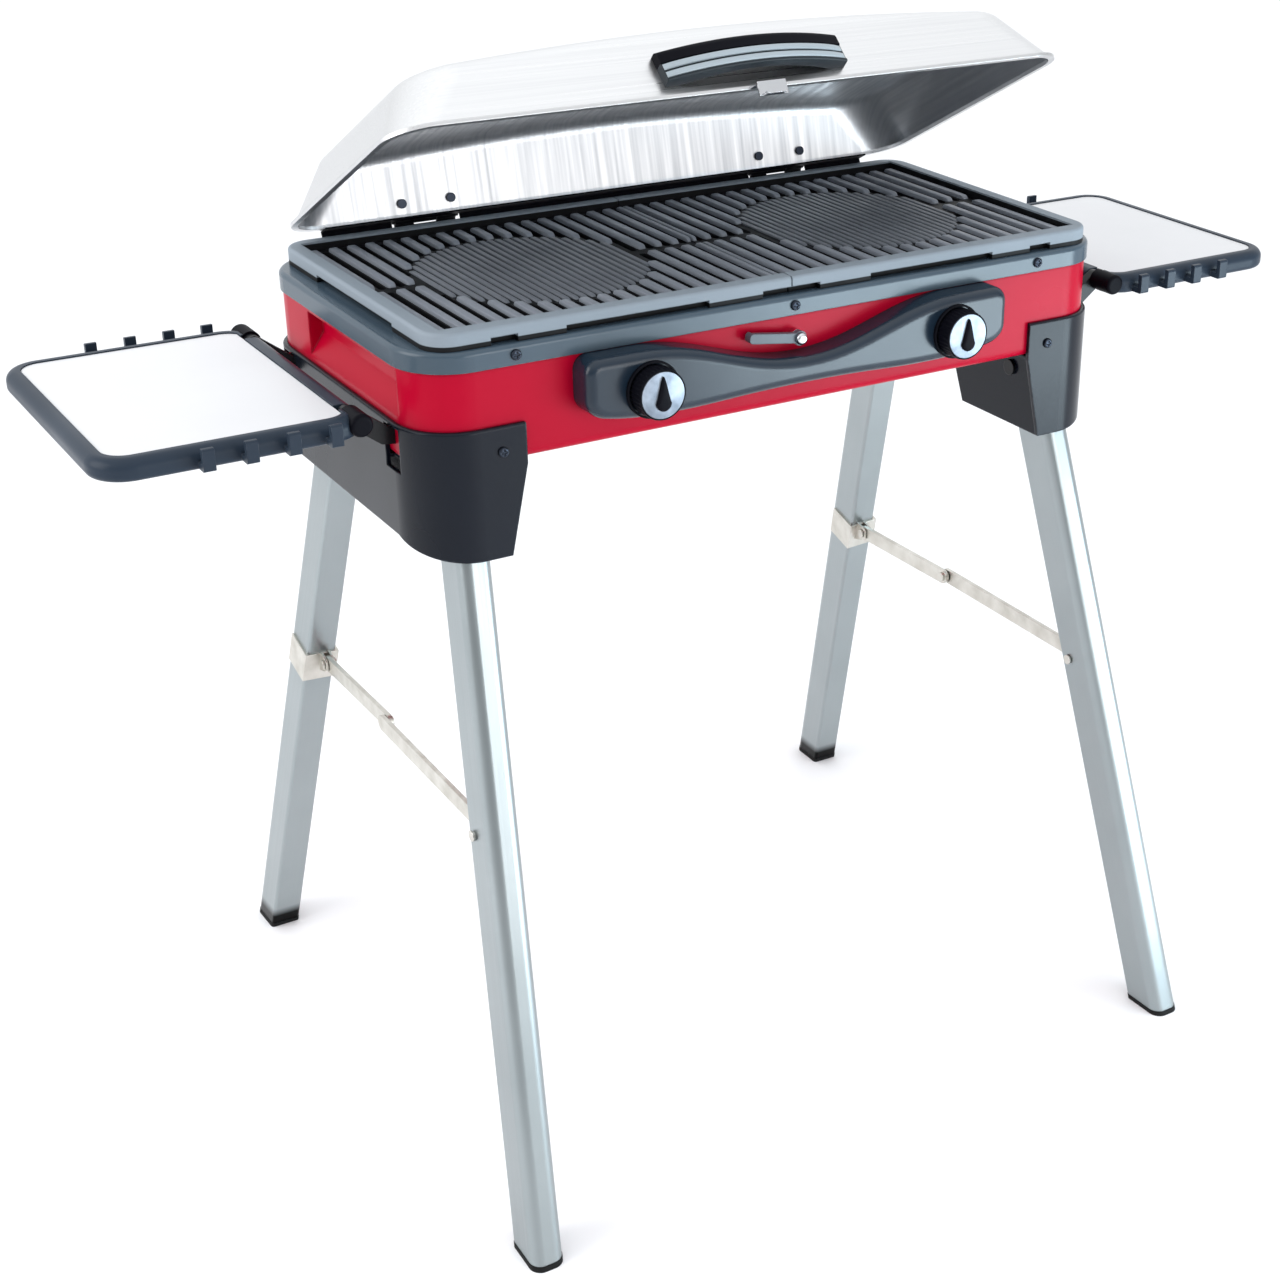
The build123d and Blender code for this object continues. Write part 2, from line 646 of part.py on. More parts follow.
# End housing: skin round the end of the firebox, deck under it, leg pockets
def end_housing():
    """Right-hand housing."""
    inside = [size + HOUSING_GAP for size in (BODY_HALF_LENGTH, BODY_HALF_DEPTH, BODY_CORNER)]
    outside = [size + HOUSING_WALL for size in inside]
    right_part = block(HOUSING_INNER_X, FAR, -FAR, FAR, 0, FAR)
    skin = rounded_prism(*outside, HOUSING_BOTTOM, HOUSING_TOP)
    skin = fillet(skin.faces().sort_by(Axis.Z)[-1].edges(), HOUSING_EDGE)
    skin -= rounded_prism(*inside, HOUSING_BOTTOM - 1, HOUSING_TOP + 1)
    pocket_top = BODY_BOTTOM - HOUSING_DECK
    deck = rounded_prism(*inside, pocket_top, BODY_BOTTOM)
    housing = (skin & right_part) + (deck & right_part)
    housing += leg_pocket(inside, pocket_top)
    housing += other_side(leg_pocket(inside, pocket_top))
    slant = [
        (HOUSING_INNER_X - 10, pocket_top),
        (HOUSING_INNER_X, pocket_top),
        (CHEEK_INNER_X, HOUSING_BOTTOM),
        (CHEEK_INNER_X, HOUSING_BOTTOM - 10),
        (HOUSING_INNER_X - 10, HOUSING_BOTTOM - 10),
    ]
    housing -= front_prism(slant, -FAR, FAR)
    scoop_front = [
        (-outside[1], HOUSING_BOTTOM - 10),
        (-outside[1], HOUSING_BOTTOM),
        (-HOUSING_SCOOP_HALF_DEPTH, HOUSING_SCOOP_TOP),
    ]
    scoop_rear = [(-y, z) for y, z in reversed(scoop_front)]
    housing -= end_prism(scoop_front + scoop_rear, BODY_HALF_LENGTH - BODY_CORNER, FAR)
    slot = block(BODY_HALF_LENGTH - HOUSING_WALL, FAR, *TABLE_SLOT_Y, *TABLE_SLOT_Z)
    housing -= slot
    housing -= other_side(slot)
    for hole in screw_holes:
        housing -= hole
    return housing


def leg_pocket(inside, pocket_top):
    """Two cheeks for a front leg, with bosses and the bore for its pin."""
    wall = inside[1] + 1
    side_view = [
        (-wall, HOUSING_BOTTOM),
        (-CHEEK_FOOT_Y, HOUSING_BOTTOM),
        (-CHEEK_INNER_Y, CHEEK_FOOT_Z),
        (-CHEEK_INNER_Y, pocket_top),
        (-wall, pocket_top),
    ]
    cheeks = end_prism(side_view, CHEEK_INNER_X, CHEEK_INNER_X + CHEEK_WALL)
    cheeks += end_prism(side_view, CHEEK_OUTER_X, CHEEK_OUTER_X + CHEEK_WALL)
    cheeks &= rounded_prism(*[size + 1 for size in inside], HOUSING_BOTTOM, pocket_top)
    x, y, z = LEG_PIVOT
    beside_leg = LEG_WIDTH / 2 + LEG_SIDE_GAP
    bosses = rod_along_x(-y, z, CHEEK_INNER_X + 1, x - beside_leg, LEG_BOSS_RADIUS)
    bosses += rod_along_x(-y, z, x + beside_leg, CHEEK_OUTER_X + 1, LEG_BOSS_RADIUS)
    pin_bore = rod_along_x(-y, z, CHEEK_INNER_X - 1, CHEEK_OUTER_X + CHEEK_WALL + 1, LEG_PIN_RADIUS)
    return cheeks + bosses - pin_bore


right_end_housing = end_housing()
left_end_housing = other_end(right_end_housing)

# Leg pivot pins, each with a head inside and a clip outside
pin_x, pin_y, pin_z = LEG_PIVOT
pin_stop = CHEEK_OUTER_X + CHEEK_WALL
head_start = CHEEK_INNER_X - LEG_PIN_HEAD_HEIGHT
leg_pin = rod_along_x(pin_y, pin_z, head_start, CHEEK_INNER_X, LEG_PIN_HEAD)
leg_pin += rod_along_x(pin_y, pin_z, CHEEK_INNER_X - 1, pin_stop + 1, LEG_PIN_RADIUS)
leg_pin += rod_along_x(pin_y, pin_z, pin_stop, pin_stop + LEG_PIN_CLIP_HEIGHT, LEG_PIN_HEAD)
leg_pivot_pins = group(four_corners(leg_pin))

# Legs: hollow section, rounded on its outer face, drawn along the slope
leg_run = Vector(*FOOT_POINT) - Vector(*LEG_PIVOT)
leg_place = Plane(origin=LEG_PIVOT, x_dir=(1, 0, 0), z_dir=leg_run)
leg_length = leg_run.length


def leg_section(grow):
    """Cross-section of a leg, grown or shrunk all round."""
    section = Rectangle(LEG_WIDTH + 2 * grow, LEG_DEPTH + 2 * grow)
    section = fillet(section.vertices().sort_by(Axis.Y)[:2], LEG_OUTER_EDGE + grow)
    return fillet(section.vertices().sort_by(Axis.Y)[-2:], LEG_INNER_EDGE + grow)


def leg_prism(grow, start, stop):
    """Length of leg section between two distances below the pivot."""
    return leg_place * (Pos(0, 0, start) * extrude(leg_section(grow), stop - start, dir=(0, 0, 1)))


def rear_corner(z_low, z_high):
    """Space round the rear right leg between two heights."""
    return block(0, FAR, 0, FAR, z_low, z_high)


def across_leg(radius):
    """Round bar through the leg on its pivot."""
    return rod_along_x(pin_y, pin_z, pin_x - LEG_DEPTH, pin_x + LEG_DEPTH, radius)


leg_top = LEG_DEPTH / 2
past_floor = leg_length + LEG_DEPTH
leg_solid = leg_prism(0, -leg_top, past_floor)
above_pivot = leg_place * (Pos(0, 0, -leg_top) * Box(2 * LEG_DEPTH, 2 * LEG_DEPTH, LEG_DEPTH))
leg_solid = leg_solid - (above_pivot - across_leg(leg_top)) - rear_corner(-FAR, FOOT_CAP_HEIGHT)
leg_bore = leg_prism(-LEG_WALL, -8, past_floor + 10)
pivot_hole = across_leg(LEG_PIN_RADIUS + RUNNING_CLEARANCE)
right_rear_leg = leg_solid - leg_bore - pivot_hole
left_rear_leg = other_end(right_rear_leg)

# A front leg takes the end of its stay through a slot, on a rivet
stay_front_x = STAY_X + STAY_OFFSET
stay_rear_x = STAY_X - STAY_OFFSET
slot_half_width = STAY_THICKNESS / 2 + 2.5
stay_slot = block(
    stay_front_x - slot_half_width,
    stay_front_x + slot_half_width,
    STAY_FRONT_Y - 9,
    STAY_FRONT_Y + 31,
    STAY_Z - 18,
    STAY_Z + 32,
)
rivet_x = (STAY_X - LEG_WIDTH, STAY_X + LEG_WIDTH)
rivet_bore = STAY_PIN_RADIUS + RUNNING_CLEARANCE
front_rivet_hole = rod_along_x(STAY_FRONT_Y, STAY_Z, *rivet_x, rivet_bore)
right_front_leg = other_side(right_rear_leg) - stay_slot - front_rivet_hole
left_front_leg = other_end(right_front_leg)

# Foot cap: sole under the end of the leg and a plug inside it
foot_start = leg_length - 60
plug_top = FOOT_CAP_HEIGHT + FOOT_PLUG_HEIGHT
sole = leg_prism(FOOT_CAP_OVERLAP, foot_start, past_floor) & rear_corner(0, FOOT_CAP_HEIGHT)
plug = leg_prism(-LEG_WALL - FOOT_PLUG_GAP, foot_start, past_floor)
right_rear_foot = sole + (plug & rear_corner(FOOT_CAP_HEIGHT - 1, plug_top))
left_rear_foot = other_end(right_rear_foot)
right_front_foot = other_side(right_rear_foot)
left_front_foot = other_side(left_rear_foot)

# Stay bracket clipped round the rear leg, with two ears for the stay's pin
bracket_at = (pin_z - STAY_Z) / pin_z * leg_length
bracket_depth = LEG_DEPTH - 6
bracket_middle = LEG_DEPTH / 2 + BRACKET_SHEET - bracket_depth / 2
bracket_box = Box(LEG_WIDTH + 2 * BRACKET_SHEET, bracket_depth, BRACKET_HEIGHT)
bracket_block = leg_place * (Pos(0, bracket_middle, bracket_at) * bracket_box)
ear_offsets = [(22, -13), (14, 10), (0, 7.5), (-6.5, 4), (-6.5, -4), (0, -7.5)]
ear_view = [(STAY_REAR_Y + along, STAY_Z + rise) for along, rise in ear_offsets]
ear_reach = EAR_GAP + EAR_THICKNESS
ears = end_prism(ear_view, stay_rear_x - ear_reach, stay_rear_x - EAR_GAP)
ears += end_prism(ear_view, stay_rear_x + EAR_GAP, stay_rear_x + ear_reach)
right_stay_bracket = bracket_block + ears - leg_prism(0, 0, leg_length)
right_stay_bracket -= rod_along_x(STAY_REAR_Y, STAY_Z, *rivet_x, rivet_bore)
left_stay_bracket = other_end(right_stay_bracket)

# Stay bars, side by side at the middle pivot
mid_point = (STAY_MID_Y, STAY_Z + STAY_RISE)


def stay_bar(outer_y, x):
    """Flat bar with round ends from a leg to the middle of the stay."""
    run = Vector(mid_point[0] - outer_y, mid_point[1] - STAY_Z)
    angle = math.degrees(math.atan2(run.Y, run.X))
    centre = ((mid_point[0] + outer_y) / 2, (mid_point[1] + STAY_Z) / 2)
    flat = Pos(*centre) * SlotOverall(run.length + STAY_WIDTH, STAY_WIDTH, rotation=angle)
    bar = extrude(Plane.YZ * flat, STAY_THICKNESS, dir=(1, 0, 0))
    bar = Pos(x - STAY_THICKNESS / 2, 0, 0) * bar
    return bar - rod_along_x(outer_y, STAY_Z, x - STAY_THICKNESS, x + STAY_THICKNESS, STAY_PIN_RADIUS)


rear_bar_low = stay_rear_x - STAY_THICKNESS / 2
mid_bore_end = rear_bar_low + STAY_THICKNESS - 1
mid_bore = rod_along_x(*mid_point, rear_bar_low - 1, mid_bore_end, STAY_PIN_RADIUS)
right_stay_rear_bar = stay_bar(STAY_REAR_Y, stay_rear_x) - mid_bore
left_stay_rear_bar = other_end(right_stay_rear_bar)
right_stay_front_bar = stay_bar(STAY_FRONT_Y, stay_front_x)
left_stay_front_bar = other_end(right_stay_front_bar)


# Rivets: one through the bracket's ears, one at the middle, one through the front leg
def rivet(y, x, half_length):
    """Rivet with a flat head at each end."""
    body = rod_along_x(y, STAY_Z, x - half_length, x + half_length, STAY_PIN_RADIUS)
    inner = half_length - RIVET_HEAD_HEIGHT
    body += rod_along_x(y, STAY_Z, x - half_length, x - inner, RIVET_HEAD)
    return body + rod_along_x(y, STAY_Z, x + inner, x + half_length, RIVET_HEAD)


ear_rivet = rivet(STAY_REAR_Y, stay_rear_x, ear_reach + RIVET_HEAD_HEIGHT + 0.4)
mid_rivet = rod_along_x(*mid_point, rear_bar_low - 1, mid_bore_end, STAY_PIN_RADIUS)
mid_rivet += rod_along_x(*mid_point, rear_bar_low - RIVET_HEAD_HEIGHT, rear_bar_low, RIVET_HEAD)
right_stay_rear_rivets = group([ear_rivet, mid_rivet])
left_stay_rear_rivets = group([other_end(ear_rivet), other_end(mid_rivet)])
leg_x = FOOT_POINT[0] + (LEG_PIVOT[0] - FOOT_POINT[0]) * STAY_Z / LEG_PIVOT[2]
right_stay_front_rivet = rivet(STAY_FRONT_Y, leg_x, LEG_WIDTH / 2 + RIVET_HEAD_HEIGHT + 1)
left_stay_front_rivet = other_end(right_stay_front_rivet)

# Table brackets: an arm hooked into the slot of the housing, with a spigot for the knuckle
arm_root = BODY_HALF_LENGTH + HOUSING_GAP
arm_view = [
    (arm_root, 637),
    (334.2, 638.4),
    (TABLE_PIVOT_X + 4.2, TABLE_PIVOT_Z - 5.6),
    (TABLE_PIVOT_X - 4.2, TABLE_PIVOT_Z + 5.6),
    (327, 650.5),
    (arm_root, 650.5),
]
arm = front_prism(arm_view, ARM_INNER_Y, ARM_OUTER_Y)
arm += rod_along_y(TABLE_PIVOT_X, TABLE_PIVOT_Z, ARM_INNER_Y, ARM_OUTER_Y, ARM_EYE_RADIUS)
arm += rod_along_y(TABLE_PIVOT_X, TABLE_PIVOT_Z, ARM_OUTER_Y - 1, SPIGOT_END_Y, SPIGOT_RADIUS)
table_brackets = group(four_corners(arm))


# Knuckle at each inner corner of a table
def on_table_pivot(y_low, y_high, radius):
    """Round piece on the pivot line of the right-hand table, at the back."""
    return rod_along_y(TABLE_PIVOT_X, TABLE_PIVOT_Z, y_low, y_high, radius)


knuckle = on_table_pivot(KNUCKLE_INNER_Y, TABLE_HALF_DEPTH, KNUCKLE_RADIUS)
knuckle = fillet(knuckle.faces().sort_by(Axis.Y)[-1].edges(), KNUCKLE_EDGE)
knuckle -= on_table_pivot(KNUCKLE_INNER_Y - 1, SPIGOT_END_Y + 1, SPIGOT_RADIUS + RUNNING_CLEARANCE)
knuckle_pair = [knuckle, other_side(knuckle)]
right_table_knuckles = group(knuckle_pair)
left_table_knuckles = group([other_end(piece) for piece in knuckle_pair])

# Table frame with a ledge for the plate and hooks along the front and back
table_middle = (TABLE_INNER + TABLE_OUTER) / 2
table_length = TABLE_OUTER - TABLE_INNER
plate_bottom = TABLE_TOP - TABLE_PLATE_SINK - TABLE_PLATE_THICKNESS


def table_prism(inset, z_low, z_high):
    """Upright prism on the plan of the table, set in from its edge."""
    length = table_length - 2 * inset
    depth = 2 * (TABLE_HALF_DEPTH - inset)
    plan = RectangleRounded(length, depth, TABLE_CORNER - inset)
    return Pos(table_middle, 0, z_low) * extrude(plan, z_high - z_low, dir=(0, 0, 1))


def table_hook(x):
    """Hook on the back edge: an arm outwards and an upright tip."""
    side = (x - HOOK_WIDTH / 2, x + HOOK_WIDTH / 2)
    end = TABLE_HALF_DEPTH + HOOK_REACH
    low = TABLE_BOTTOM + 2
    hook = block(*side, TABLE_HALF_DEPTH - 2, end, low, low + HOOK_THICKNESS)
    hook += block(*side, end - HOOK_THICKNESS + 0.5, end, low, HOOK_TIP)
    return fillet(hook.edges().filter_by(Axis.X).group_by(Axis.Y)[-1], 2)


table_frame = table_prism(0, TABLE_BOTTOM, TABLE_TOP)
table_frame = fillet(table_frame.faces().sort_by(Axis.Z)[-1].edges(), TABLE_TOP_EDGE)
table_frame = fillet(table_frame.faces().sort_by(Axis.Z)[0].edges(), TABLE_BOTTOM_EDGE)
beyond_inner_rail = block(TABLE_PLATE_INNER, FAR, -FAR, FAR, 0, FAR)
table_frame -= table_prism(TABLE_RAIL, plate_bottom, TABLE_TOP + 1) & beyond_inner_rail
ledge_inset = TABLE_RAIL + TABLE_LEDGE
ledge_y = TABLE_HALF_DEPTH - ledge_inset
ledge_x = (TABLE_INNER + TABLE_INNER_RAIL, TABLE_OUTER - ledge_inset)
well = block(*ledge_x, -ledge_y, ledge_y, TABLE_BOTTOM - 1, TABLE_TOP + 1)
table_frame -= fillet(well.edges().filter_by(Axis.Z), 9)
for x in HOOK_CENTRES:
    table_frame += table_hook(x)
    table_frame += other_side(table_hook(x))
knuckle_end = TABLE_HALF_DEPTH + 10
table_z = (TABLE_BOTTOM - 1, TABLE_TOP + 1)
knuckle_room = on_table_pivot(KNUCKLE_INNER_Y, knuckle_end, KNUCKLE_RADIUS)
arm_room = block(TABLE_INNER - 1, TABLE_PIVOT_X + 22, ARM_INNER_Y - 2, KNUCKLE_INNER_Y, *table_z)
inner_corner = block(TABLE_INNER - 1, TABLE_PIVOT_X, KNUCKLE_INNER_Y, knuckle_end, *table_z)
for room in (knuckle_room, arm_room, inner_corner):
    table_frame -= room
    table_frame -= other_side(room)
right_table_frame = table_frame
left_table_frame = other_end(right_table_frame)

# Table plate lying in the frame
plate_inner = TABLE_PLATE_INNER + TABLE_PLATE_GAP
table_plate = table_prism(TABLE_RAIL + TABLE_PLATE_GAP, plate_bottom, TABLE_TOP - TABLE_PLATE_SINK)
table_plate &= block(plate_inner, FAR, -FAR, FAR, 0, FAR)
plate_notch = on_table_pivot(KNUCKLE_INNER_Y, knuckle_end, KNUCKLE_RADIUS + TABLE_PLATE_GAP)
table_plate -= plate_notch
table_plate -= other_side(plate_notch)
right_table_plate = table_plate
left_table_plate = other_end(right_table_plate)

# Lid, drawn shut
lid_centre_y = (LID_FRONT + LID_REAR) / 2
lid_half_depth = (LID_REAR - LID_FRONT) / 2
top_centre_y = (LID_TOP_FRONT + LID_TOP_REAR) / 2
top_half_depth = (LID_TOP_REAR - LID_TOP_FRONT) / 2
roof_radius = LID_TOP_HALF_LENGTH**2 / (2 * LID_CROWN)


def lid_form(inset):
    """Tapering lid body with a crowned roof, set in all round by a wall thickness."""
    base_x = LID_HALF_LENGTH - LID_HEM
    base_y = lid_half_depth - LID_HEM
    base_corner = LID_CORNER - LID_HEM - inset
    base = RectangleRounded(2 * (base_x - inset), 2 * (base_y - inset), base_corner)
    base = Pos(0, lid_centre_y, LID_RIM_TOP) * base
    above_roof = LID_HEIGHT + LID_CROWN + 3
    run_on = (above_roof - LID_RIM_TOP) / (LID_HEIGHT - LID_RIM_TOP)
    top_x = base_x + (LID_TOP_HALF_LENGTH - base_x) * run_on - inset
    top_y = base_y + (top_half_depth - base_y) * run_on - inset
    top_y_middle = lid_centre_y + (top_centre_y - lid_centre_y) * run_on
    top = RectangleRounded(2 * top_x, 2 * top_y, LID_TOP_CORNER - inset)
    body = loft([base, Pos(0, top_y_middle, above_roof) * top])
    roof_axis_z = LID_HEIGHT + LID_CROWN - roof_radius
    body &= rod_along_y(0, roof_axis_z, LID_FRONT, LID_REAR, roof_radius - inset)
    return fillet(body.faces().sort_by(Axis.Z)[-1].edges(), LID_EDGE - inset)


def lid_ring(inset, z_low, z_high):
    """Upright prism on the plan of the lid's rim, set in from its edge."""
    half_x = LID_HALF_LENGTH - inset
    half_y = lid_half_depth - inset
    return rounded_prism(half_x, half_y, LID_CORNER - inset, z_low, z_high, lid_centre_y)


lid_shut = lid_form(0) + lid_ring(0, LID_RIM_BOTTOM, LID_RIM_TOP)
lid_shut -= lid_form(LID_SHEET)
lid_shut -= lid_ring(LID_HEM + LID_SHEET, LID_RIM_BOTTOM - 1, LID_RIM_TOP)

# Slope of the lid's front and back walls
wall_rise = LID_HEIGHT - LID_RIM_TOP
rear_foot_y = LID_REAR - LID_HEM
rear_lean = (rear_foot_y - LID_TOP_REAR) / wall_rise
front_foot_y = LID_FRONT + LID_HEM
front_lean = (LID_TOP_FRONT - front_foot_y) / wall_rise

# Screws of the lid's hinge leaves, heads inside the lid
lid_screw_y = rear_foot_y - rear_lean * LID_SCREW_HEIGHT
outward = Vector(0, 1, rear_lean).normalized()


def lid_screw(x):
    """Screw square to the lid's back wall, and the hole it fills."""
    on_wall = Vector(x, lid_screw_y, LID_RIM_TOP + LID_SCREW_HEIGHT)
    under_head = on_wall - outward * (LID_SHEET + 0.1)
    head_top = under_head - outward * LID_SCREW_HEAD_HEIGHT
    end = on_wall + outward * LID_SCREW_REACH
    screw = rod(head_top, under_head, LID_SCREW_HEAD)
    screw += rod(under_head - outward, end, LID_SCREW_SHANK)
    return screw, rod(head_top, end + outward * 2, LID_SCREW_SHANK)


lid_screw_places = [HINGE_CENTRE - LID_SCREW_SPREAD, HINGE_CENTRE + LID_SCREW_SPREAD]
lid_screws = [lid_screw(x)[0] for x in lid_screw_places]
lid_screw_holes = [lid_screw(x)[1] for x in lid_screw_places]
for hole in lid_screw_holes:
    lid_shut -= hole
    lid_shut -= other_end(hole)
lid_screws_shut = lid_screws + [other_end(screw) for screw in lid_screws]


# Hinges: leaf on the rim, leaf on the lid, pin through the knuckles
def on_hinge_line(x_low, x_high, radius):
    """Round piece on the hinge line."""
    return rod_along_x(HINGE_Y, HINGE_Z, x_low, x_high, radius)


hinge_low = HINGE_CENTRE - HINGE_HALF_LENGTH
hinge_high = HINGE_CENTRE + HINGE_HALF_LENGTH
middle_low = HINGE_CENTRE - HINGE_MIDDLE
middle_high = HINGE_CENTRE + HINGE_MIDDLE
middle_room = (middle_low - HINGE_PLAY, middle_high + HINGE_PLAY)
rim_back = BODY_HALF_DEPTH + RIM_OVERHANG
body_leaf = block(hinge_low, hinge_high, rim_back, HINGE_Y, BODY_TOP + 2, HINGE_Z)
body_leaf += on_hinge_line(hinge_low, middle_room[0], HINGE_BARREL)
body_leaf += on_hinge_line(middle_room[1], hinge_high, HINGE_BARREL)
body_leaf -= block(*middle_room, HINGE_Y - 7, HINGE_Y + 8, HINGE_Z - 5, HINGE_Z + 6)
body_leaf -= on_hinge_line(hinge_low - 1, hinge_high + 1, HINGE_PIN)
body_hinge_leaves = group([body_leaf, other_end(body_leaf)])
hinge_pin = on_hinge_line(hinge_low - HINGE_PIN_END, hinge_low, HINGE_PIN_HEAD)
hinge_pin += on_hinge_line(hinge_low - 1, hinge_high + 1, HINGE_PIN)
hinge_pin += on_hinge_line(hinge_high, hinge_high + HINGE_PIN_END, HINGE_PIN_HEAD)
hinge_pins = group([hinge_pin, other_end(hinge_pin)])

leaf_top = LID_RIM_TOP + LEAF_HEIGHT
leaf_back = rear_foot_y + LEAF_THICKNESS
leaf_lean = rear_lean * LEAF_HEIGHT
leaf_view = [
    (rear_foot_y, LID_RIM_TOP),
    (leaf_back, LID_RIM_TOP),
    (leaf_back - leaf_lean, leaf_top),
    (rear_foot_y - leaf_lean, leaf_top),
]
lid_leaf = end_prism(leaf_view, hinge_low, hinge_high)
tongue_top = LID_RIM_TOP + LEAF_THICKNESS + 0.1
lid_leaf += block(middle_low, middle_high, rear_foot_y + 0.5, HINGE_Y, LID_RIM_TOP, tongue_top)
lid_leaf += on_hinge_line(middle_low, middle_high, HINGE_BARREL)
lid_leaf -= block(hinge_low, hinge_high, 0, LID_REAR + 0.2, HINGE_Z - 6, LID_RIM_TOP)
lid_leaf -= on_hinge_line(hinge_low - 1, hinge_high + 1, HINGE_PIN + RUNNING_CLEARANCE)
for hole in lid_screw_holes:
    lid_leaf -= hole
lid_leaves_shut = [lid_leaf, other_end(lid_leaf)]

# Black strip under the back of the lid's rim, turned down along the hinge line
strip_inner = rear_foot_y - LID_SHEET - STRIP_LAP
strip_x = (-STRIP_HALF_LENGTH, STRIP_HALF_LENGTH)
flange_front = STRIP_REAR - STRIP_THICKNESS
strip_bottom = LID_RIM_BOTTOM - STRIP_THICKNESS
strip_shut = block(*strip_x, strip_inner, STRIP_REAR, strip_bottom, LID_RIM_BOTTOM)
strip_shut += block(*strip_x, flange_front, STRIP_REAR, STRIP_FLANGE_BOTTOM, LID_RIM_BOTTOM)
hinge_room_low = hinge_low - HINGE_PIN_END - 1
hinge_room_high = hinge_high + HINGE_PIN_END + 1
strip_z = (STRIP_FLANGE_BOTTOM - 1, LID_RIM_BOTTOM + 1)
hinge_room = block(hinge_room_low, hinge_room_high, LID_REAR - 0.5, STRIP_REAR + 1, *strip_z)
strip_shut -= hinge_room
strip_shut -= other_end(hinge_room)

# Catch on the front of the lid's rim: a bent plate whose lip the latch's claw holds down
catch_back = -PLATE_HALF_DEPTH - 1.5
catch_front = catch_back - CATCH_SHEET
catch_x = (-CATCH_HALF_WIDTH, CATCH_HALF_WIDTH)
catch_shut = block(*catch_x, catch_front, LID_FRONT, LID_RIM_BOTTOM, CATCH_TOP)
catch_shut += block(*catch_x, catch_front, catch_back, CATCH_BOTTOM, CATCH_TOP)
lip_z = (CATCH_BOTTOM, CATCH_BOTTOM + LIP_THICKNESS)
catch_shut += block(-LIP_HALF_WIDTH, LIP_HALF_WIDTH, LIP_FRONT, catch_back, *lip_z)

# Lid handle: a bow standing off the front wall, with two ribs and a dark upper grip
up_wall = Vector(0, front_lean, 1).normalized()
handle_origin = Vector(0, front_foot_y, LID_RIM_TOP) + up_wall * HANDLE_UP_WALL
handle_place = Plane(origin=handle_origin, x_dir=(1, 0, 0), z_dir=up_wall)


def bow(extra_rise, low, high):
    """Length of bow section between two heights up the wall."""
    end = HANDLE_HALF_LENGTH
    inner = HANDLE_HALF_LENGTH - HANDLE_FOOT
    end_rise = HANDLE_END_RISE + extra_rise
    middle_rise = HANDLE_MIDDLE_RISE + extra_rise
    edges = [
        ThreePointArc((-end, -end_rise), (0, -middle_rise), (end, -end_rise)),
        Line((end, -end_rise), (end, 0)),
        Line((end, 0), (inner, 0)),
        ThreePointArc((inner, 0), (0, -HANDLE_GAP), (-inner, 0)),
        Line((-inner, 0), (-end, 0)),
        Line((-end, 0), (-end, -end_rise)),
    ]
    face = make_face(Curve() + edges)
    return handle_place * (Pos(0, 0, low) * extrude(face, high - low, dir=(0, 0, 1)))


handle_shut = bow(0, 0, HANDLE_HEIGHT)
for low in HANDLE_RIBS:
    handle_shut += bow(HANDLE_RIB_RISE, low, low + HANDLE_RIB_HEIGHT)
grip_shut = bow(GRIP_RISE, HANDLE_HEIGHT, GRIP_TOP)
grip_shut = fillet(grip_shut.faces().sort_by(Axis.Z)[-1].edges().sort_by(Axis.Y)[0], GRIP_EDGE)


def opened(shape):
    """Lid piece swung from shut to the resting angle."""
    hinge_line = Axis((0, HINGE_Y, HINGE_Z), (1, 0, 0))
    return shape.rotate(hinge_line, -LID_OPEN_ANGLE)


lid_shell = opened(lid_shut)
lid_hinge_strip = opened(strip_shut)
lid_handle = opened(handle_shut)
lid_handle_grip = opened(grip_shut)
lid_catch = opened(catch_shut)
lid_hinge_leaves = group([opened(leaf) for leaf in lid_leaves_shut])
lid_hinge_screws = group([opened(screw) for screw in lid_screws_shut])

